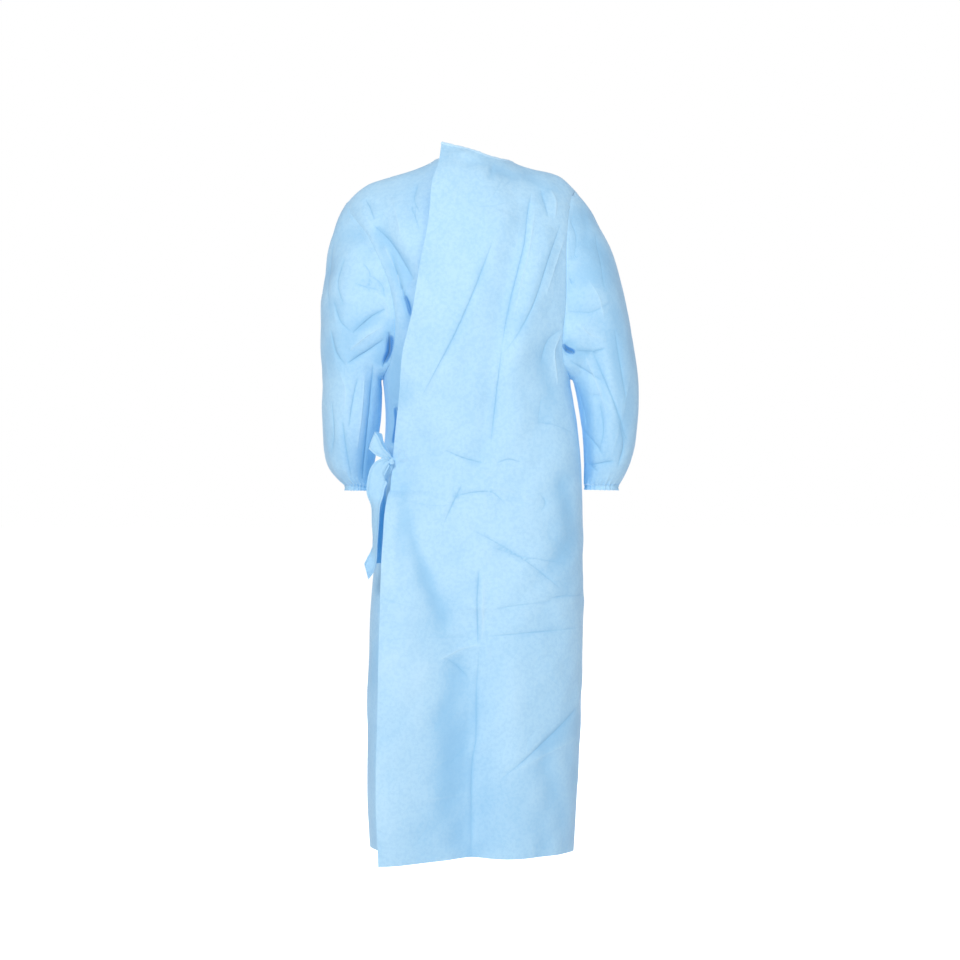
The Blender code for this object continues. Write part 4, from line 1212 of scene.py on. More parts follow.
@dataclass
class Sleeve:
    """A set-in sleeve: the armhole's own shape first, turning into even rings below, gathered at its end.

    Attributes:
        side: the gown's side.
        loop: the armhole's points.
        crumple: its small dents.
        rings: how many rings it has.
    """

    side: Side
    loop: Array
    crumple: Crumple
    rings: int = 116
    blend: float = 0.45
    seam_blend: float = 0.20
    cap_rise: float = 0.0014
    cap_reach: float = 0.004
    puckers: int = 36
    pucker_height: float = 0.0006
    pucker_reach: float = 0.010
    gathers: int = 22
    gather_height: float = 0.0012
    gather_reach: float = 0.046
    crease_fade: float = 0.010
    pressed: float = 0.46
    # painted shade that darkens the whole sleeve's colour evenly
    shade: float = -0.0018
    grid: Array = field(init=False)
    creasing: CreaseField = field(init=False)
    normals: Array = field(init=False)

    def __post_init__(self) -> None:
        """Works out the sleeve's points."""
        self.creased(self.plain())

    @property
    def node(self) -> str:
        """The solid that the sleeve replaces."""
        return f"sleeve_{self.side.name.lower()}"

    def places(self, rings: Sequence[Ring]) -> Array:
        """Places along the ring table, an even distance apart on the sleeve's outer side."""
        fine = np.linspace(0, len(rings) - 1, 400)
        steps = np.arange(len(rings))
        outer = [
            smooth([Step(s, getattr(r, name)) for s, r in zip(steps, rings)], "value", fine)
            for name in ("outer_x", "outer_z")
        ]
        lengths = row_lengths(np.stack(outer, axis=1))
        return np.interp(np.linspace(0, lengths[-1], self.rings + 1), lengths, fine)

    def plain(self) -> Array:
        """The sleeve's rings before it is creased."""
        loop = self.loop
        count = len(loop)
        low = count // 2
        own_axis = loop[0] - loop[low]
        own_axis[1] = 0
        reach = np.linalg.norm(own_axis) / 2
        run = own_axis / (2 * reach)
        side = np.array([-run[2], 0, run[0]])
        offset = loop - (loop[0] + loop[low]) / 2
        own_along, own_out = offset @ run / reach, offset @ side
        own_depth = np.abs(loop[:, 1]).max()
        turn = np.arange(count) / count * 2 * math.pi
        first = Ring(loop[0, 0], loop[0, 2], loop[low, 0], loop[low, 2], own_depth, 0.0)
        rings = (first, *SLEEVE_RINGS[self.side])
        names = [f.name for f in fields(Ring)]
        places = self.places(rings)
        steps = np.arange(len(rings))
        read = {n: smooth([Step(s, getattr(r, n)) for s, r in zip(steps, rings)], "value", places) for n in names}
        grid = [loop]
        for i, place in enumerate(places[1:], start=1):
            here = Ring(*[float(read[n][i]) for n in names])
            done = place / (len(rings) - 1)
            keep, keep_out = (float(smoothstep(0, 1, 1 - done / span)) for span in (self.blend, self.seam_blend))
            axis = np.array([here.outer_x - here.inner_x, 0, here.outer_z - here.inner_z]) / 2
            middle = np.array([(here.outer_x + here.inner_x) / 2, here.forward, (here.outer_z + here.inner_z) / 2])
            run = unit(axis)
            side = np.array([-run[2], 0, run[0]])
            along = keep * own_along + (1 - keep) * np.cos(turn)
            across = keep * loop[:, 1] / own_depth + (1 - keep) * -np.sin(turn)
            ring = middle + np.outer(along, axis) + np.outer(own_out * keep_out, side)
            ring[:, 1] = middle[1] + across * here.depth
            grid.append(ring)
        return np.array(grid)

    def creased(self, points: Array) -> None:
        """Moves the points out by the sleeve's creases and gathers."""
        normals = surface_normals(points, closed=True)
        middle = points.mean(axis=1, keepdims=True)
        if (normals * (points - middle)).sum() < 0:
            normals = -normals
        x, z = points[..., 0], points[..., 2]
        back = smoothstep(-0.25, 0.25, -normals[..., 1])
        made = CreaseField.of(SLEEVE_BACK_CREASES[self.side], x, z, self.pressed).faded(back)
        made = made.plus(CreaseField.of(SLEEVE_FRONT_CREASES[self.side], x, z, self.pressed).faded(1 - back))
        across, down = cloth_distances(points)
        made = made.plus(self.crumple.field(across, down))
        made = made.faded(smoothstep(0, self.crease_fade, down) * smoothstep(0, self.crease_fade, down[-1:] - down))
        height = made.height
        turn = np.arange(points.shape[1]) / points.shape[1] * 2 * math.pi
        draw = np.random.default_rng(self.crumple.seed + 100)
        wander = sum(np.sin(k * turn + draw.uniform(0, 6.28)) for k in (1, 2, 3)) * 0.5
        waves = np.cos(self.gathers * turn + wander) * (0.7 + 0.3 * np.sin(5 * turn + draw.uniform(0, 6.28)))
        lengths = 0.6 + 0.4 * np.sin(3 * turn + draw.uniform(0, 6.28)) * np.cos(7 * turn + draw.uniform(0, 6.28))
        near_hem = np.clip(1 - (down[-1:] - down) / (self.gather_reach * lengths), 0, 1) ** 1.4
        height = height + waves * self.gather_height * near_hem
        pucker = np.cos(self.puckers * turn + 1.4 * wander) * (0.6 + 0.4 * np.sin(9 * turn + wander))
        height = height + pucker * self.pucker_height * np.exp(-down / self.pucker_reach) * smoothstep(0, 0.003, down)
        # Painted shade: the sleeve's shade table on its back and its even darkening go into its colour only
        shade = CreaseField.of(SLEEVE_PAINTED_SHADE[self.side], x, z).height * back + self.shade
        self.creasing = CreaseField(height + shade, made.gap, made.line)
        rise = self.cap_rise * (1 - np.exp(-down / self.cap_reach)) * (1 - smoothstep(0.03, 0.12, down))
        self.grid = points + normals * (height + rise)[..., None]
        self.normals = normals

    def build(self, cloth: bpy.types.Material, thickness: float) -> bpy.types.Object:
        """Makes the sleeve's thin cloth."""
        piece = shell(self.node, self.grid, thickness, closed=True, creasing=self.creasing)
        piece.data.materials.append(cloth)
        return piece


@dataclass
class ElasticHem:
    """The narrow hem of a sleeve, drawn up in small pleats over its elastic."""

    sleeve: Sleeve
    height: float = 0.0105
    pleats: int = 44
    pleat_height: float = 0.0006
    rings: int = 10
    seam_gap: float = 0.0006
    sewn_rings: tuple[int, ...] = (2, 7)
    rows: list[Array] = field(init=False, default_factory=list)

    @property
    def node(self) -> str:
        """The solid that the hem replaces."""
        return f"cuff_{self.sleeve.side.name.lower()}"

    def build(self, cloth: bpy.types.Material, thickness: float) -> bpy.types.Object:
        """Makes the pleated band, rounded at its foot where it folds back in."""
        last = self.sleeve.grid[-1]
        middle = last.mean(axis=0)
        turn = np.arange(len(last)) / len(last) * 2 * math.pi
        draw = np.random.default_rng(31 if self.sleeve.side is Side.RIGHT else 32)
        wander = sum(np.sin(k * turn + draw.uniform(0, 6.28)) for k in (2, 3, 5)) * 0.8
        waves = np.cos(self.pleats * turn + wander) * (0.65 + 0.35 * np.sin(7 * turn + draw.uniform(0, 6.28)))
        outward_line = last - middle
        outward_line[:, 2] = 0
        outward_line = unit(outward_line)
        rings = []
        for share in np.linspace(0, 1, self.rings + 1):
            drawn = 1 - 0.045 * math.sin(math.pi * min(share * 1.15, 1)) - 0.02 * share
            ring = middle + (last - middle) * np.array([drawn, drawn, 1.0])
            swell = self.pleat_height * (0.35 + 0.65 * math.sin(math.pi * share))
            ring = ring + outward_line * (waves * swell)[:, None]
            ring[:, 2] = last[:, 2] - self.seam_gap - self.height * share
            rings.append(ring)
        off = outward_line * (thickness / 2 + STITCH_OFF)
        self.rows = [loop_of(rings[ring] + off) for ring in self.sewn_rings]
        piece = shell(self.node, np.array(rings), thickness, closed=True)
        piece.data.materials.append(cloth)
        return piece


@dataclass
class NeckBinding:
    """A folded strip round the neckline, from the wrap corner round to the hidden corner.

    Attributes:
        wrap: the outer back.
        front: the front.
        under: the under back.
        above: how far the strip's fold stands above the cloth's edge.
        below: how far the strip reaches down both faces of the cloth.
    """

    wrap: BodyPanel
    front: BodyPanel
    under: BodyPanel
    node: str = "neck_binding"
    above: float = 0.0018
    below: float = 0.0042
    thickness: float = 0.0021
    profile_points: int = 16
    spacing: float = 0.003
    path: Array = field(init=False)
    normals: Array = field(init=False)
    outward: Array = field(init=False)

    def __post_init__(self) -> None:
        """Works out the line of the neck that the strip is folded over."""
        half = self.front.form.neck_half_width
        path, normals = [], []
        for panel, low, high, rising in (
            (self.wrap, -1.0, half + 1e-4, True),
            (self.front, -half + 0.003, half - 0.003, False),
            (self.under, -half - 1e-4, 1.0, True),
        ):
            top, out = panel.grid[-1], surface_normals(panel.grid)[-1]
            inside = (top[:, 0] > low) & (top[:, 0] < high)
            order = np.argsort(top[inside][:, 0] * (1 if rising else -1))
            path.append(top[inside][order])
            normals.append(out[inside][order])
        line, out = np.concatenate(path), np.concatenate(normals)
        lengths = row_lengths(line)
        at = np.linspace(0, lengths[-1], int(lengths[-1] / self.spacing) + 1)
        line = np.stack([np.interp(at, lengths, line[:, i]) for i in range(3)], axis=1)
        out = np.stack([np.interp(at, lengths, out[:, i]) for i in range(3)], axis=1)
        for _ in range(10):
            out[1:-1] = (out[:-2] + 2 * out[1:-1] + out[2:]) / 4
            line[1:-1] = (line[:-2] + 6 * line[1:-1] + line[2:]) / 8
        self.path, self.normals = line, unit(out)
        self.outward = unit(np.cross(self.normals, np.gradient(line, axis=0)))

    def build(self, cloth: bpy.types.Material) -> bpy.types.Object:
        """Makes the strip as a rounded fold swept along the neckline."""
        turn = np.linspace(0, 2 * math.pi, self.profile_points, endpoint=False)
        draw = np.random.default_rng(5)
        along = row_lengths(self.path)
        uneven = sum(np.sin(2 * math.pi * along / k + draw.uniform(0, 6.28)) for k in (0.011, 0.019, 0.034)) * 0.00016
        width = self.above + self.below
        rings = []
        for point, out, up, wave in zip(self.path, self.normals, self.outward, uneven):
            high = width / 2 * (1 - np.cos(turn))
            thick = self.thickness / 2 * np.sign(np.sin(turn)) * np.abs(np.sin(turn)) ** 0.4
            sway = wave * np.cos(math.pi * high / width)
            rings.append(point + np.outer(high - self.below + sway, up) + np.outer(thick + sway, out))
        piece = bpy.data.objects.new(self.node, tube_mesh(self.node, np.array(rings)))
        bpy.context.scene.collection.objects.link(piece)
        piece.data.materials.append(cloth)
        return piece


def loop_of(line: Array) -> Array:
    """A line of points closed back to its first point."""
    return np.concatenate([line, line[:1]])


def tube_mesh(name: str, grid: Array) -> bpy.types.Mesh:
    """A closed tube through rings of points, with flat ends and its distances as its UV map."""
    rings, around = grid.shape[:2]
    index = np.arange(rings * around).reshape(rings, around)
    turned = np.concatenate([index, index[:, :1]], axis=1)
    quads = np.stack([turned[:-1, :-1], turned[:-1, 1:], turned[1:, 1:], turned[1:, :-1]], axis=-1).reshape(-1, 4)
    faces = quads.tolist() + [index[0].tolist()[::-1], index[-1].tolist()]
    mesh = bpy.data.meshes.new(name)
    mesh.from_pydata(grid.reshape(-1, 3).tolist(), [], faces)
    mesh.update()
    outward(mesh)
    mesh.shade_smooth()
    across, down = cloth_distances(np.concatenate([grid, grid[:, :1]], axis=1))
    add_uv(mesh, np.stack([across[:, :around].ravel(), down[:, :around].ravel()], axis=1))
    ends = np.concatenate([np.stack([turned[row, :-1], turned[row, 1:]], axis=-1) for row in (0, -1)])
    mark_sharp(mesh, ends)
    return mesh


# The bow's tapes, from the knot outwards
UPPER_LOOP = (
    Tape(-0.1600, -0.1085, -0.5960, 0.45, 0.00, 0.89, 0.009),
    Tape(-0.1658, -0.1110, -0.5917, 0.45, 0.00, 0.89, 0.013),
    Tape(-0.1771, -0.1150, -0.5842, 0.61, 0.00, 0.79, 0.020),
    Tape(-0.1868, -0.1170, -0.5710, 0.60, 0.00, 0.80, 0.028),
    Tape(-0.1925, -0.1130, -0.5620, 0.38, 0.00, 0.93, 0.032),
    Tape(-0.1895, -0.1080, -0.5600, 0.42, 0.00, 0.91, 0.029),
    Tape(-0.1800, -0.1050, -0.5600, 0.50, 0.00, 0.87, 0.022),
    Tape(-0.1740, -0.1040, -0.5720, 0.60, 0.00, 0.80, 0.013),
    Tape(-0.1660, -0.1050, -0.5870, 0.60, 0.00, 0.80, 0.009),
)
LONG_TAIL = (
    Tape(-0.1640, -0.1100, -0.6040, 0.10, 0.00, 1.00, 0.014),
    Tape(-0.1700, -0.1140, -0.6120, -0.10, 0.00, 0.99, 0.032),
    Tape(-0.1790, -0.1180, -0.6240, -0.66, 0.00, 0.75, 0.038),
    Tape(-0.1826, -0.1190, -0.6420, -0.98, 0.05, 0.16, 0.037),
    Tape(-0.1860, -0.1180, -0.6620, -0.99, 0.12, 0.00, 0.033),
    Tape(-0.1856, -0.1170, -0.6880, -0.72, 0.69, 0.00, 0.026),
    Tape(-0.1861, -0.1160, -0.7140, -0.52, 0.85, 0.00, 0.024),
    Tape(-0.1865, -0.1150, -0.7550, -0.42, 0.90, 0.06, 0.022),
    Tape(-0.1894, -0.1155, -0.7810, -0.50, 0.60, 0.60, 0.025),
    Tape(-0.1955, -0.1165, -0.7990, -0.42, 0.10, 0.90, 0.030),
    Tape(-0.2030, -0.1170, -0.8110, -0.25, 0.00, 0.97, 0.031),
)
SHORT_TAIL = (
    Tape(-0.1600, -0.0985, -0.6180, 0.90, 0.30, 0.00, 0.010),
    Tape(-0.1700, -0.0950, -0.6350, 0.80, 0.60, 0.10, 0.020),
    Tape(-0.1780, -0.0940, -0.6620, 0.90, 0.44, 0.00, 0.024),
    Tape(-0.1790, -0.0940, -0.7000, 0.88, 0.47, 0.00, 0.024),
    Tape(-0.1800, -0.0950, -0.7400, 0.90, 0.44, 0.00, 0.025),
    Tape(-0.1810, -0.0960, -0.7750, 0.94, 0.34, 0.00, 0.025),
    Tape(-0.1810, -0.0970, -0.7960, 0.94, 0.34, 0.00, 0.025),
)
SIDE_TIE = (
    Tape(-0.1792, 0.0120, -0.6020, 0.00, 0.00, 1.00, 0.028),
    Tape(-0.1794, -0.0200, -0.6010, 0.00, 0.00, 1.00, 0.028),
    Tape(-0.1755, -0.0520, -0.6000, 0.00, 0.00, 1.00, 0.026),
    Tape(-0.1710, -0.0800, -0.6010, 0.00, 0.00, 1.00, 0.020),
    Tape(-0.1650, -0.0990, -0.6020, 0.00, 0.00, 1.00, 0.013),
)


@dataclass
class WaistTie:
    """The waist ties, knotted in a bow at the gown's left."""

    knot: tuple[float, float, float] = (-0.1560, -0.1050, -0.6025)
    knot_size: tuple[float, float, float] = (0.0058, 0.0060, 0.0078)
    knot_gap: float = 0.0001
    thickness: float = 0.0011
    across: int = 10
    along: int = 7
    curl: float = 0.0009
    hem_inset: float = 0.0042
    hem_line: float = -0.0005
    rows: list[Array] = field(init=False, default_factory=list)

    def at_knot(self, section: Tape) -> Tape:
        """A tape's end section, square to its line to the knot and moved until it almost touches it."""
        knot = np.array(self.knot)
        line = unit(np.array([section.x, section.y, section.z]) - knot)
        reach = 1 / np.linalg.norm(line / np.array(self.knot_size)) + self.knot_gap
        across = np.array([section.across_x, section.across_y, section.across_z])
        return Tape(*(knot + line * reach), *(across - line * (across @ line)), section.width)

    def ribbon(self, sections: Sequence[Tape], seed: int, knot_first: bool, knot_last: bool) -> Array:
        """A flat tape as rows of points across it, lightly cupped and creased lengthwise.

        Args:
            sections: the tape's sections.
            seed: fixes its small creases.
            knot_first: whether its first end is held in the knot.
            knot_last: whether its last end is held in the knot.

        Returns:
            The tape's grid of points.
        """
        sections = list(sections)
        if knot_first:
            sections[0] = self.at_knot(sections[0])
        if knot_last:
            sections[-1] = self.at_knot(sections[-1])
        count = (len(sections) - 1) * self.along + 1
        places = np.linspace(0, len(sections) - 1, count)
        steps = np.arange(len(sections))

        def read(name: str) -> Array:
            return smooth([Step(s, getattr(t, name)) for s, t in zip(steps, sections)], "value", places)

        middle = np.stack([read("x"), read("y"), read("z")], axis=1)
        across = unit(np.stack([read("across_x"), read("across_y"), read("across_z")], axis=1))
        width = read("width")
        spread = np.linspace(-0.5, 0.5, self.across + 1)
        grid = middle[:, None] + across[:, None] * (width[:, None] * spread)[..., None]
        normals = surface_normals(grid)
        held = smoothstep(0.0, 0.25, np.linspace(0, 1, count)) if knot_first else np.ones(count)
        if knot_last:
            held = held * smoothstep(0.0, 0.25, np.linspace(1, 0, count))
        draw = np.random.default_rng(seed)
        pleat = np.cos(2 * math.pi * (spread * 2.5 + draw.uniform(0, 1))) * self.curl * 1.2
        cup = self.curl * (4 * spread**2 - 0.4)
        wave = sum(np.sin(2 * math.pi * k * np.linspace(0, 1, count) + draw.uniform(0, 6.28)) for k in (2, 3, 5))
        height = np.outer(1 - held, pleat) + np.outer(held, cup) + np.outer(held * wave, spread) * self.curl
        return grid + normals * height[..., None]

    def hems(self, grid: Array, shade: float, turned: float) -> CreaseField:
        """The tape's stitched-down edges as pressed lines, and the shade that its folded part lies in.

        Args:
            grid: the tape's points.
            shade: how deep its shaded part is tinted.
            turned: the share of its length from which it is shaded.

        Returns:
            The field for the tape's finish.
        """
        width = np.linalg.norm(grid[:, -1] - grid[:, 0], axis=1)
        spread = np.abs(np.linspace(-0.5, 0.5, self.across + 1))
        gap = np.outer(width, spread) - (width / 2 - self.hem_inset)[:, None]
        share = np.linspace(0, 1, len(grid))
        tint = shade * smoothstep(turned - 0.02, turned + 0.08, share)
        return CreaseField(np.tile(tint[:, None], self.across + 1), gap, np.full(gap.shape, self.hem_line))

    def knot_mesh(self) -> bpy.types.Mesh:
        """The knot: a lump of cloth with its wraps as slanting rolls."""
        rings, around = 26, 36
        tilt = np.linspace(0.06, math.pi - 0.06, rings)
        turn = np.linspace(0, 2 * math.pi, around, endpoint=False)
        lat, lon = np.meshgrid(tilt, turn, indexing="ij")
        rolls = 1 + 0.07 * np.cos(3 * lat * 2 + 1.3 * np.sin(lon)) + 0.05 * np.cos(2 * lon + 3 * lat)
        size = np.array(self.knot_size)
        ball = np.stack([np.sin(lat) * np.cos(lon), np.sin(lat) * np.sin(lon), np.cos(lat)], axis=-1)
        return tube_mesh("tie_knot", np.array(self.knot) + ball * size * rolls[..., None] * 0.96)

    def build(self, cloth: bpy.types.Material) -> dict[str, bpy.types.Object]:
        """Makes the knot, the loop, both tails and the tie that comes round the side."""
        knot = bpy.data.objects.new("tie_knot", self.knot_mesh())
        bpy.context.scene.collection.objects.link(knot)
        pieces = {"tie_knot": knot}
        for name, sections, seed, first, last, shade, turned in (
            ("tie_loop", UPPER_LOOP, 41, True, True, -0.0090, 0.5),
            ("tie_tail_long", LONG_TAIL, 42, True, False, -0.0016, 0.0),
            ("tie_tail_short", SHORT_TAIL, 43, True, False, -0.0036, 0.45),
            ("tie_side", SIDE_TIE, 44, False, True, -0.0024, 0.0),
        ):
            grid = self.ribbon(sections, seed, first, last)
            off = surface_normals(grid) * (self.thickness / 2 + STITCH_OFF)
            for column in (1, -2):
                self.rows += [(grid + off * side)[1:-1, column] for side in (1, -1)]
            pieces[name] = shell(name, grid, self.thickness, creasing=self.hems(grid, shade, turned))
        for piece in pieces.values():
            piece.data.materials.append(cloth)
        return pieces


@dataclass
class NodeTree:
    """Short ways to fill a node tree."""

    tree: bpy.types.NodeTree

    def add(self, kind: str, **settings: Any) -> bpy.types.Node:
        """Adds a node and sets its properties."""
        node = self.tree.nodes.new(kind)
        for name, value in settings.items():
            setattr(node, name, value)
        return node

    def link(self, source: Any, node: bpy.types.Node, socket: str | int) -> None:
        """Links an output to a node's input, or sets the input to a plain value."""
        if isinstance(source, bpy.types.NodeSocket):
            self.tree.links.new(source, node.inputs[socket])
        else:
            node.inputs[socket].default_value = source

    def math(self, operation: str, *values: Any, clamp: bool = False) -> bpy.types.NodeSocket:
        """The result of a Math node on sockets or numbers."""
        node = self.add("ShaderNodeMath", operation=operation, use_clamp=clamp)
        for i, value in enumerate(values):
            self.link(value, node, i)
        return node.outputs[0]

    def mix(self, share: Any, first: Any, second: Any) -> bpy.types.NodeSocket:
        """A mix of two colours."""
        node = self.add("ShaderNodeMix", data_type="RGBA")
        for socket, value in (("Factor", share), ("A", first), ("B", second)):
            slot = next(s for s in node.inputs if s.name == socket and s.enabled)
            if isinstance(value, bpy.types.NodeSocket):
                self.tree.links.new(value, slot)
            else:
                slot.default_value = value
        return next(s for s in node.outputs if s.enabled)

    def noise(self, vector: Any, scale: Any, detail: float = 3.0, roughness: float = 0.5) -> bpy.types.NodeSocket:
        """The value of a Noise texture."""
        node = self.add("ShaderNodeTexNoise")
        self.link(vector, node, "Vector")
        self.link(scale, node, "Scale")
        self.link(detail, node, "Detail")
        self.link(roughness, node, "Roughness")
        return node.outputs[0]

    def ramp(self, value: Any, low: float, high: float) -> bpy.types.NodeSocket:
        """A value stretched so that low is 0 and high is 1."""
        node = self.add("ShaderNodeMapRange", clamp=True, interpolation_type="SMOOTHSTEP")
        for socket, number in (("Value", value), ("From Min", low), ("From Max", high)):
            self.link(number, node, socket)
        return node.outputs[0]


def nonwoven_group() -> bpy.types.NodeTree:
    """The look that every nonwoven cloth shares: cloudy fibres, bonded dots, soft crumples, and shade and highlights
    painted along its folds and pressed lines.

    Returns:
        A shader node group with the cloth's colour, roughness and height.
    """
    group = bpy.data.node_groups.new("nonwoven_surface", "ShaderNodeTree")
    sockets = group.interface
    for name, kind, default in (
        ("Cloth Vector", "NodeSocketVector", None),
        ("Form Vector", "NodeSocketVector", None),
        ("Base Colour", "NodeSocketColor", (0.5, 0.7, 0.9, 1.0)),
        ("Deep Colour", "NodeSocketColor", (0.3, 0.6, 0.9, 1.0)),
        ("Pale Colour", "NodeSocketColor", (0.6, 0.8, 0.9, 1.0)),
        ("Hollow Colour", "NodeSocketColor", (0.02, 0.14, 0.44, 1.0)),
        ("Mottling", "NodeSocketFloat", 0.3),
        ("Bond Pitch", "NodeSocketFloat", 0.0016),
        ("Crumple", "NodeSocketFloat", 1.0),
        ("Fold", "NodeSocketFloat", 0.0),
        ("Gap", "NodeSocketFloat", 0.05),
        ("Line", "NodeSocketFloat", 0.0),
        ("Roughness", "NodeSocketFloat", 0.6),
    ):
        made = sockets.new_socket(name, in_out="INPUT", socket_type=kind)
        if default is not None:
            made.default_value = default
    for name, kind in (("Colour", "NodeSocketColor"), ("Roughness", "NodeSocketFloat"), ("Height", "NodeSocketFloat")):
        sockets.new_socket(name, in_out="OUTPUT", socket_type=kind)
    nodes = NodeTree(group)
    given = nodes.add("NodeGroupInput").outputs
    result = nodes.add("NodeGroupOutput")

    clouds = nodes.noise(given["Form Vector"], 9.0, 4.0, 0.55)
    fibres = nodes.noise(given["Cloth Vector"], 330.0, 3.0, 0.6)
    blotches = nodes.noise(given["Form Vector"], 38.0, 3.0, 0.6)
    flecks = nodes.ramp(nodes.noise(given["Form Vector"], 150.0, 2.0, 0.6), 0.38, 0.66)
    mottled = nodes.math("MULTIPLY_ADD", nodes.ramp(clouds, 0.32, 0.70), 0.50, nodes.math("MULTIPLY", blotches, 0.40))
    mottled = nodes.math("MULTIPLY_ADD", flecks, 0.75, mottled)
    share = nodes.math("MULTIPLY", mottled, given["Mottling"], clamp=True)
    colour = nodes.mix(share, given["Base Colour"], given["Deep Colour"])
    pale = nodes.math("MULTIPLY", nodes.ramp(fibres, 0.56, 0.82), 0.35)
    colour = nodes.mix(pale, colour, given["Pale Colour"])

    # Painted shade: the colour darkens in creases, fold troughs and shade tables, and far darker in deep pockets; a
    # painted highlight lightens fold crests
    crease_shade = nodes.math("SUBTRACT", 1.0, nodes.ramp(given["Fold"], -0.0066, 0.0002))
    colour = nodes.mix(nodes.math("MULTIPLY", crease_shade, 0.70), colour, given["Deep Colour"])
    pocket_shade = nodes.math("SUBTRACT", 1.0, nodes.ramp(given["Fold"], -0.0180, -0.0085))
    colour = nodes.mix(nodes.math("MULTIPLY", pocket_shade, 0.85), colour, given["Hollow Colour"])
    crest_highlight = nodes.ramp(given["Fold"], 0.0006, 0.0045)
    colour = nodes.mix(nodes.math("MULTIPLY", crest_highlight, 0.30), colour, given["Pale Colour"])
    # Pressed lines: a bump, plus painted shade along sunk lines and a painted highlight along raised ones
    away = nodes.math("ABSOLUTE", given["Gap"])
    pressed = nodes.math("EXPONENT", nodes.math("MULTIPLY", away, -830.0))
    line_shade = nodes.math("MULTIPLY", nodes.math("MULTIPLY", given["Line"], -1300.0, clamp=True), pressed)
    colour = nodes.mix(nodes.math("MULTIPLY", line_shade, 0.75), colour, given["Deep Colour"])
    line_highlight = nodes.math("MULTIPLY", nodes.math("MULTIPLY", given["Line"], 1300.0, clamp=True), pressed)
    colour = nodes.mix(nodes.math("MULTIPLY", line_highlight, 0.45), colour, given["Pale Colour"])

    scaled = nodes.add("ShaderNodeVectorMath", operation="SCALE")
    nodes.link(given["Cloth Vector"], scaled, 0)
    nodes.link(nodes.math("DIVIDE", 1.0, given["Bond Pitch"]), scaled, "Scale")
    dots = nodes.add("ShaderNodeTexVoronoi", feature="F1", distance="EUCLIDEAN", voronoi_dimensions="2D")
    nodes.link(scaled.outputs[0], dots, "Vector")
    nodes.link(1.0, dots, "Scale")
    nodes.link(0.25, dots, "Randomness")
    bond = nodes.ramp(dots.outputs["Distance"], 0.18, 0.34)
    colour = nodes.mix(nodes.math("MULTIPLY", nodes.math("SUBTRACT", 1.0, bond), 0.16), colour, given["Deep Colour"])

    facets = nodes.add("ShaderNodeTexVoronoi", feature="SMOOTH_F1", voronoi_dimensions="3D")
    bent = nodes.add("ShaderNodeVectorMath", operation="MULTIPLY_ADD")
    warp = nodes.add("ShaderNodeTexNoise")
    nodes.link(given["Form Vector"], warp, "Vector")
    nodes.link(14.0, warp, "Scale")
    nodes.link(warp.outputs["Color"], bent, 0)
    nodes.link((0.035, 0.035, 0.035), bent, 1)
    nodes.link(given["Form Vector"], bent, 2)
    nodes.link(bent.outputs[0], facets, "Vector")
    nodes.link(26.0, facets, "Scale")
    nodes.link(0.12, facets, "Smoothness")
    small = nodes.noise(given["Form Vector"], 70.0, 2.0, 0.5)
    soft = nodes.noise(given["Form Vector"], 24.0, 2.0, 0.45)
    crumple = nodes.math("MULTIPLY", facets.outputs["Distance"], 0.0011)
    crumple = nodes.math("ADD", crumple, nodes.math("MULTIPLY", small, 0.00042))
    crumple = nodes.math("ADD", crumple, nodes.math("MULTIPLY", soft, 0.0013))
    crumple = nodes.math("MULTIPLY", crumple, given["Crumple"])
    height = nodes.math("MULTIPLY_ADD", bond, 0.00005, crumple)
    height = nodes.math("MULTIPLY_ADD", fibres, 0.00006, height)
    height = nodes.math("MULTIPLY_ADD", given["Line"], pressed, height)

    rough = nodes.math("MULTIPLY_ADD", nodes.math("SUBTRACT", fibres, 0.5), 0.18, given["Roughness"])
    for socket, value in (("Colour", colour), ("Roughness", rough), ("Height", height)):
        nodes.link(value, result, socket)
    return group


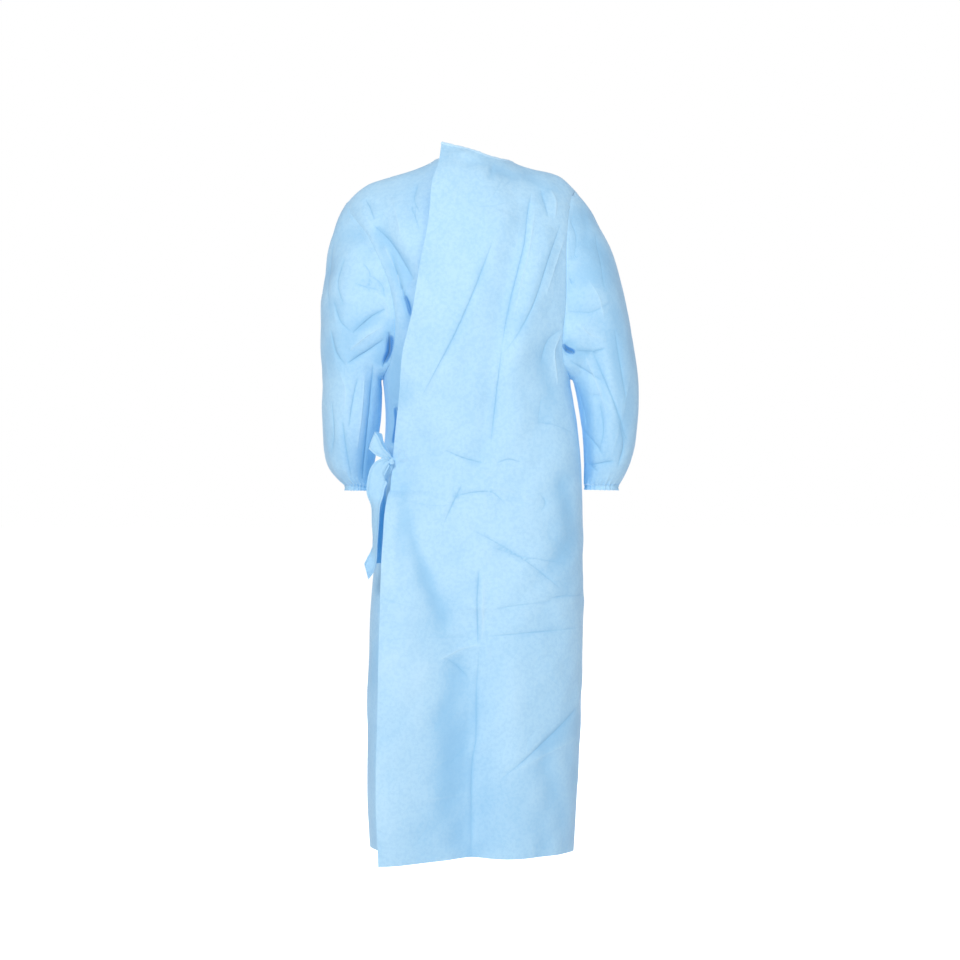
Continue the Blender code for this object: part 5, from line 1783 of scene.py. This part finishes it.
@dataclass(frozen=True)
class ClothFinish:
    """A nonwoven cloth's finish.

    Attributes:
        name: the material's name.
        base: its colour in full light, linear.
        deep: its colour where fibres lie thick, and the painted shade colour of creases and sunk pressed lines.
        pale: its colour on single pale fibres, and the painted highlight colour of fold crests and raised pressed
            lines.
        mottling: how cloudy it is.
        bond_pitch: how far apart the bonded dots are.
        crumple: how deep its small crumples are.
        roughness: how matte it is.
        sheen: how much the fibre ends catch light at grazing angles.
        glow: painted light, a constant blue emission over the whole cloth that shows most in its shaded parts.
    """

    name: str
    base: tuple[float, float, float]
    deep: tuple[float, float, float]
    pale: tuple[float, float, float]
    mottling: float = 0.30
    bond_pitch: float = 0.0016
    crumple: float = 1.0
    roughness: float = 0.62
    sheen: float = 0.20
    glow: tuple[float, float, float] = (0.0, 0.060, 0.160)

    def build(self, group: bpy.types.NodeTree) -> bpy.types.Material:
        """Makes the material around the shared group."""
        made = bpy.data.materials.new(self.name)
        made.use_nodes = True
        nodes = NodeTree(made.node_tree)
        shader = made.node_tree.nodes["Principled BSDF"]
        place = nodes.add("ShaderNodeTexCoord")
        surface = nodes.add("ShaderNodeGroup", node_tree=group)
        nodes.link(place.outputs["UV"], surface, "Cloth Vector")
        nodes.link(place.outputs["Object"], surface, "Form Vector")
        for label in ("Fold", "Gap", "Line"):
            nodes.link(nodes.add("ShaderNodeAttribute", attribute_name=label.lower()).outputs["Fac"], surface, label)
        for socket, value in (
            ("Base Colour", (*self.base, 1.0)),
            ("Deep Colour", (*self.deep, 1.0)),
            ("Pale Colour", (*self.pale, 1.0)),
            ("Mottling", self.mottling),
            ("Bond Pitch", self.bond_pitch),
            ("Crumple", self.crumple),
            ("Roughness", self.roughness),
        ):
            nodes.link(value, surface, socket)
        bump = nodes.add("ShaderNodeBump")
        nodes.link(1.0, bump, "Distance")
        nodes.link(0.9, bump, "Strength")
        nodes.link(surface.outputs["Height"], bump, "Height")
        nodes.link(surface.outputs["Colour"], shader, "Base Color")
        nodes.link(surface.outputs["Roughness"], shader, "Roughness")
        nodes.link(bump.outputs[0], shader, "Normal")
        # Painted light: a constant blue emission over the cloth
        shader.inputs["Emission Color"].default_value = (*self.glow, 1.0)
        shader.inputs["Emission Strength"].default_value = 1.0
        shader.inputs["Sheen Weight"].default_value = self.sheen
        shader.inputs["Sheen Roughness"].default_value = 0.5
        shader.inputs["Specular IOR Level"].default_value = 0.3
        return made


GOWN_CLOTH = ClothFinish("gown_cloth", (0.485, 0.680, 0.785), (0.265, 0.485, 0.665), (0.590, 0.750, 0.815))
TIE_CLOTH = ClothFinish("tie_cloth", (0.460, 0.660, 0.775), (0.250, 0.475, 0.665), (0.570, 0.740, 0.810), crumple=0.5)
BINDING_CLOTH = ClothFinish("binding", (0.570, 0.740, 0.820), (0.440, 0.640, 0.780), (0.760, 0.850, 0.880), crumple=0.3)
HEM_CLOTH = ClothFinish("elastic_hem", (0.460, 0.660, 0.775), (0.250, 0.470, 0.650), (0.570, 0.740, 0.805), crumple=0.4)


@dataclass(frozen=True)
class ThreadFinish:
    """The finish of sewing thread."""

    name: str = "thread"
    colour: tuple[float, float, float] = (0.55, 0.76, 0.93)
    roughness: float = 0.5

    def build(self) -> bpy.types.Material:
        """Makes the material, with the thread's twist as fine bands."""
        made = bpy.data.materials.new(self.name)
        made.use_nodes = True
        nodes = NodeTree(made.node_tree)
        shader = made.node_tree.nodes["Principled BSDF"]
        place = nodes.add("ShaderNodeTexCoord")
        twist = nodes.noise(place.outputs["Object"], 2400.0, 1.0)
        dark = tuple(c * 0.8 for c in self.colour)
        nodes.link(nodes.mix(twist, (*self.colour, 1.0), (*dark, 1.0)), shader, "Base Color")
        shader.inputs["Roughness"].default_value = self.roughness
        shader.inputs["Sheen Weight"].default_value = 0.2
        return made


def stitch_tree(thread: bpy.types.Material) -> bpy.types.NodeTree:
    """A Geometry Nodes tree that sews stitches along every edge line of a mesh.

    Args:
        thread: the stitches' material.

    Returns:
        The tree, with the stitch's pitch, length and radius as named inputs.
    """
    tree = bpy.data.node_groups.new("stitch_line", "GeometryNodeTree")
    tree.interface.new_socket("Geometry", in_out="INPUT", socket_type="NodeSocketGeometry")
    for name, default in (("Pitch", 0.003), ("Length", 0.0022), ("Radius", 0.00028), ("Slant", 0.0)):
        made = tree.interface.new_socket(name, in_out="INPUT", socket_type="NodeSocketFloat")
        made.default_value = default
    tree.interface.new_socket("Geometry", in_out="OUTPUT", socket_type="NodeSocketGeometry")
    nodes = NodeTree(tree)
    given = nodes.add("NodeGroupInput").outputs
    result = nodes.add("NodeGroupOutput")
    curve = nodes.add("GeometryNodeMeshToCurve")
    nodes.link(given["Geometry"], curve, "Mesh")
    even = nodes.add("GeometryNodeResampleCurve", mode="LENGTH")
    nodes.link(curve.outputs[0], even, "Curve")
    nodes.link(given["Pitch"], even, "Length")
    stitch = nodes.add("GeometryNodeMeshUVSphere")
    nodes.link(6, stitch, "Segments")
    nodes.link(4, stitch, "Rings")
    nodes.link(1.0, stitch, "Radius")
    tangent = nodes.add("GeometryNodeInputTangent")
    aim = nodes.add("FunctionNodeAlignRotationToVector", axis="X")
    nodes.link(tangent.outputs[0], aim, "Vector")
    turn = nodes.add("FunctionNodeRotateRotation", rotation_space="LOCAL")
    nodes.link(aim.outputs[0], turn, "Rotation")
    slant = nodes.add("ShaderNodeCombineXYZ")
    nodes.link(given["Slant"], slant, "Z")
    nodes.link(slant.outputs[0], turn, "Rotate By")
    size = nodes.add("ShaderNodeCombineXYZ")
    nodes.link(nodes.math("MULTIPLY", given["Length"], 0.5), size, "X")
    nodes.link(given["Radius"], size, "Y")
    nodes.link(given["Radius"], size, "Z")
    placed = nodes.add("GeometryNodeInstanceOnPoints")
    nodes.link(even.outputs[0], placed, "Points")
    nodes.link(stitch.outputs["Mesh"], placed, "Instance")
    nodes.link(turn.outputs[0], placed, "Rotation")
    nodes.link(size.outputs[0], placed, "Scale")
    real = nodes.add("GeometryNodeRealizeInstances")
    nodes.link(placed.outputs[0], real, 0)
    sewn = nodes.add("GeometryNodeSetMaterial")
    nodes.link(real.outputs[0], sewn, "Geometry")
    sewn.inputs["Material"].default_value = thread
    nodes.link(sewn.outputs[0], result, "Geometry")
    return tree


@dataclass
class Sewing:
    """Rows of stitches, each row sewn along a line of points by Geometry Nodes."""

    tree: bpy.types.NodeTree
    thread: bpy.types.Material

    def sew(self, name: str, lines: Sequence[Array], **sizes: float) -> bpy.types.Object:
        """Sews stitches along lines.

        Args:
            name: the new piece's name.
            lines: lines of points on the cloth's face.
            sizes: the tree's inputs by name, such as Pitch.

        Returns:
            A plain mesh of all the stitches.
        """
        points, edges = [], []
        for line in lines:
            first = len(points)
            points += line.tolist()
            edges += [(first + i, first + i + 1) for i in range(len(line) - 1)]
        guide = bpy.data.meshes.new(f"{name}_guide")
        guide.from_pydata(points, edges, [])
        carrier = bpy.data.objects.new(f"{name}_guide", guide)
        bpy.context.scene.collection.objects.link(carrier)
        modifier = carrier.modifiers.new("stitches", "NODES")
        modifier.node_group = self.tree
        for item in self.tree.interface.items_tree:
            if item.in_out == "INPUT" and item.name in sizes:
                modifier[item.identifier] = sizes[item.name]
        graph = bpy.context.evaluated_depsgraph_get()
        mesh = bpy.data.meshes.new_from_object(carrier.evaluated_get(graph), depsgraph=graph)
        mesh.name = name
        bpy.data.objects.remove(carrier)
        mesh.shade_smooth()
        piece = bpy.data.objects.new(name, mesh)
        bpy.context.scene.collection.objects.link(piece)
        return piece


@dataclass(frozen=True)
class Studio:
    """A pale floor, soft light and the photograph's camera."""

    camera_place: tuple[float, float, float] = (0.0117, -3.6, -0.638)
    lens: float = 69.2
    sensor: float = 36.0
    floor_z: float = -1.512
    floor_size: float = 60.0
    backdrop: float = 1.0
    ambient: float = 0.40
    floor_glow: float = 0.68

    def build(self) -> None:
        """Makes the floor, the light and the camera."""
        self.make_floor()
        self.make_world()
        self.make_lights()
        self.make_camera()
        bpy.context.scene.view_settings.view_transform = "Standard"

    def make_floor(self) -> None:
        """A plain pale floor under the gown's hem."""
        half = self.floor_size / 2
        mesh = bpy.data.meshes.new("floor")
        corners = [(x * half, y * half, self.floor_z) for x, y in ((-1, -1), (1, -1), (1, 1), (-1, 1))]
        mesh.from_pydata(corners, [], [(0, 1, 2, 3)])
        floor = bpy.data.objects.new("floor", mesh)
        bpy.context.scene.collection.objects.link(floor)
        pale = bpy.data.materials.new("floor")
        pale.use_nodes = True
        nodes = NodeTree(pale.node_tree)
        shader = pale.node_tree.nodes["Principled BSDF"]
        place = nodes.add("ShaderNodeTexCoord")
        tone = nodes.noise(place.outputs["Object"], 0.8, 3.0)
        nodes.link(nodes.mix(tone, (0.93, 0.93, 0.93, 1.0), (0.90, 0.90, 0.905, 1.0)), shader, "Base Color")
        shader.inputs["Roughness"].default_value = 0.9
        seen_straight = nodes.add("ShaderNodeLightPath").outputs["Is Camera Ray"]
        shader.inputs["Emission Color"].default_value = (1.0, 1.0, 1.0, 1.0)
        nodes.link(nodes.math("MULTIPLY", seen_straight, self.floor_glow), shader, "Emission Strength")
        mesh.materials.append(pale)

    def make_world(self) -> None:
        """A white backdrop that lights the gown more softly than it shows."""
        world = bpy.data.worlds.new("studio")
        world.use_nodes = True
        bpy.context.scene.world = world
        nodes = NodeTree(world.node_tree)
        sky = world.node_tree.nodes["Background"]
        seen = nodes.add("ShaderNodeLightPath").outputs["Is Camera Ray"]
        gain = nodes.math("MULTIPLY_ADD", seen, self.backdrop - self.ambient, self.ambient)
        sky.inputs["Color"].default_value = (1.0, 1.0, 1.0, 1.0)
        nodes.link(gain, sky, "Strength")

    def make_lights(self) -> None:
        """A large soft box up and to the left of the camera, and a weak one to its right."""
        aim = Vector((0.0, 0.0, -0.65))
        for name, place, size, power in (
            ("key", (-1.1, -3.9, 1.5), 1.0, 100.0),
            ("fill", (1.5, -3.6, 0.3), 2.4, 26.0),
            ("front_key", (-0.5, 4.1, 0.6), 1.1, 95.0),
            ("front_fill", (1.4, 3.8, 0.0), 2.4, 20.0),
        ):
            data = bpy.data.lights.new(name, "AREA")
            data.shape, data.size, data.energy = "DISK", size, power
            lamp = bpy.data.objects.new(name, data)
            lamp.location = place
            lamp.rotation_euler = (aim - Vector(place)).to_track_quat("-Z", "Y").to_euler()
            bpy.context.scene.collection.objects.link(lamp)

    def make_camera(self) -> None:
        """The photograph's camera: level, behind the gown at mid height."""
        data = bpy.data.cameras.new("camera")
        data.lens, data.sensor_width = self.lens, self.sensor
        camera = bpy.data.objects.new("camera", data)
        camera.location = self.camera_place
        camera.rotation_euler = (math.pi / 2, 0.0, 0.0)
        bpy.context.scene.collection.objects.link(camera)
        bpy.context.scene.camera = camera


@dataclass
class Gown:
    """The whole gown: its panels, sleeves, hems, binding, ties and sewing."""

    form: GownForm = field(default_factory=GownForm)
    cloth_thickness: float = 0.0008
    seam_ring: int = 2
    pieces: dict[str, bpy.types.Object] = field(default_factory=dict)

    def panels(self) -> tuple[BodyPanel, BodyPanel, BodyPanel]:
        """The front, the outer back and the under back."""
        form, neck = self.form, self.form.neck_half_width
        hidden = (Edge(form.hem_z - 0.01, form.hidden_edge_x), Edge(UNDER_NECKLINE[-1].z, form.hidden_edge_x))
        front = BodyPanel(
            node="front_panel",
            form=form,
            depth=form.front_y,
            top=lambda x: form.top_z(FRONT_NECKLINE, x),
            right_end=Side.RIGHT,
            left_end=Side.LEFT,
            hem=(Hang(0.0, 0.013), Hang(0.3, 0.000), Hang(0.7, 0.000), Hang(1.0, 0.004)),
            neck=FRONT_NECKLINE,
            neck_x=(neck, -neck),
            middle_x=0.004,
            forward=1.0,
            folds=FRONT_FOLDS,
            creases=FRONT_CREASES,
            shades=FRONT_PAINTED_SHADE,
            crumple=Crumple(seed=11),
            columns=150,
        )
        wrap = BodyPanel(
            node="back_wrap_panel",
            form=form,
            depth=form.wrap_y,
            top=form.wrap_top,
            right_end=Side.RIGHT,
            left_end=FREE_EDGE,
            hem=(Hang(0.0, 0.013), Hang(0.15, 0.005), Hang(0.4, 0.000), Hang(0.6, 0.000), Hang(1.0, 0.007)),
            neck=BACK_NECKLINE,
            neck_x=(neck,),
            middle_x=0.020,
            forward=-1.0,
            folds=WRAP_FOLDS,
            creases=WRAP_CREASES,
            shades=WRAP_PAINTED_SHADE,
            crumple=Crumple(seed=12),
            columns=150,
            wrap=True,
        )
        under = BodyPanel(
            node="back_under_panel",
            form=form,
            depth=form.under_y,
            top=lambda x: form.top_z(UNDER_NECKLINE, x),
            right_end=hidden,
            left_end=Side.LEFT,
            hem=(Hang(0.0, 0.000), Hang(1.0, 0.004)),
            neck=UNDER_NECKLINE,
            neck_x=(-neck,),
            middle_x=-0.060,
            forward=-1.0,
            folds=UNDER_FOLDS,
            creases=UNDER_CREASES,
            shades=UNDER_PAINTED_SHADE,
            crumple=Crumple(seed=13, nicks=40),
            columns=64,
            more_nodes=("back_under_waist", "back_under_skirt"),
        )
        return front, wrap, under

    def build(self) -> None:
        """Makes every piece of the gown in the order in which it is sewn."""
        group = nonwoven_group()
        cloth, tie_cloth, binding_cloth, hem_cloth = (
            finish.build(group) for finish in (GOWN_CLOTH, TIE_CLOTH, BINDING_CLOTH, HEM_CLOTH)
        )
        thread = ThreadFinish().build()
        sewing = Sewing(stitch_tree(thread), thread)

        front, wrap, under = self.panels()
        for panel in (front, wrap, under):
            self.keep(panel.build(cloth, self.cloth_thickness), panel.node, "gown_cloth", *panel.more_nodes)
        seams, hems = [], []
        for side, back in ((Side.RIGHT, wrap), (Side.LEFT, under)):
            sleeve = Sleeve(side, armhole_loop(front, back, side), Crumple(seed=20 + len(self.pieces), nicks=34))
            hem = ElasticHem(sleeve)
            self.keep(sleeve.build(cloth, self.cloth_thickness), sleeve.node, "gown_cloth")
            self.keep(hem.build(hem_cloth, self.cloth_thickness), hem.node, "elastic_hem")
            off = self.cloth_thickness / 2 + STITCH_OFF
            seams.append(loop_of(sleeve.grid[self.seam_ring] + sleeve.normals[self.seam_ring] * off))
            hems += hem.rows
        binding = NeckBinding(wrap, front, under)
        self.keep(binding.build(binding_cloth), binding.node, "binding")
        ties = WaistTie()
        for name, piece in ties.build(tie_cloth).items():
            self.keep(piece, name, "tie_cloth")

        face = binding.path + binding.normals * (binding.thickness / 2 + STITCH_OFF)
        neck = [face - binding.outward * 0.0020]
        for name, lines, slot, pitch, radius in (
            ("binding_stitches", neck, "binding", 0.0034, 0.00022),
            ("armhole_stitches", seams, "gown_cloth", 0.0038, 0.00020),
            ("hem_stitches", hems, "elastic_hem", 0.0036, 0.00022),
            ("tie_stitches", ties.rows, "tie_cloth", 0.0034, 0.00020),
            ("tie_patch_stitches", self.patch_rows(wrap), "gown_cloth", 0.0026, 0.00024),
        ):
            self.keep(sewing.sew(name, lines, Pitch=pitch, Length=pitch * 0.76, Radius=radius), None, slot)

    def patch_rows(self, wrap: BodyPanel) -> list[Array]:
        """The small square of stitches that holds the inner tie's end on the outer back.

        Args:
            wrap: the outer back.

        Returns:
            The square's two rounds of points.
        """
        rounds = []
        for inset in (0.0, 1.6):
            left, right, top, foot = 398 + inset, 407 - inset, 450 + inset, 461 - inset
            corners = seen((left, top), (right, top), (right, foot), (left, foot), (left, top), depth=-0.12)
            flat = at_shares(np.array(corners), np.linspace(0, 1, 61))
            points = wrap.grid.reshape(-1, 3)
            away = np.linalg.norm(points[:, [0, 2]] - flat[:, None], axis=2)
            nearest = np.argsort(away, axis=1)[:, :4]
            share = 1 / (np.take_along_axis(away, nearest, axis=1) + 1e-5)
            depth = (points[nearest, 1] * share).sum(axis=1) / share.sum(axis=1)
            face = depth - self.cloth_thickness / 2 - STITCH_OFF * 3
            rounds.append(np.stack([flat[:, 0], face, flat[:, 1]], axis=1))
        return rounds

    def keep(self, piece: bpy.types.Object, node: str | None, slot: str, *more: str) -> None:
        """Fastens a piece to the frame and notes it.

        Args:
            piece: the piece.
            node: the solid that it replaces, if it does.
            slot: a material slot's name in the record; not used.
            more: other solids that it replaces.
        """
        if node is not None:
            piece.name = f"{node}_cloth"
            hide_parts(node, *more)
        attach(piece, BODY)
        self.pieces[piece.name] = piece
        LOG.info("%s: %d faces", piece.name, len(piece.data.polygons))


def main() -> None:
    """Dresses the gown on its frame."""
    logging.basicConfig(level=logging.INFO, format="%(name)s: %(message)s")
    for old in list(bpy.data.objects):
        bpy.data.objects.remove(old, do_unlink=True)
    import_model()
    gown = Gown()
    gown.build()
    Studio().build()


if __name__ == "__main__":
    main()
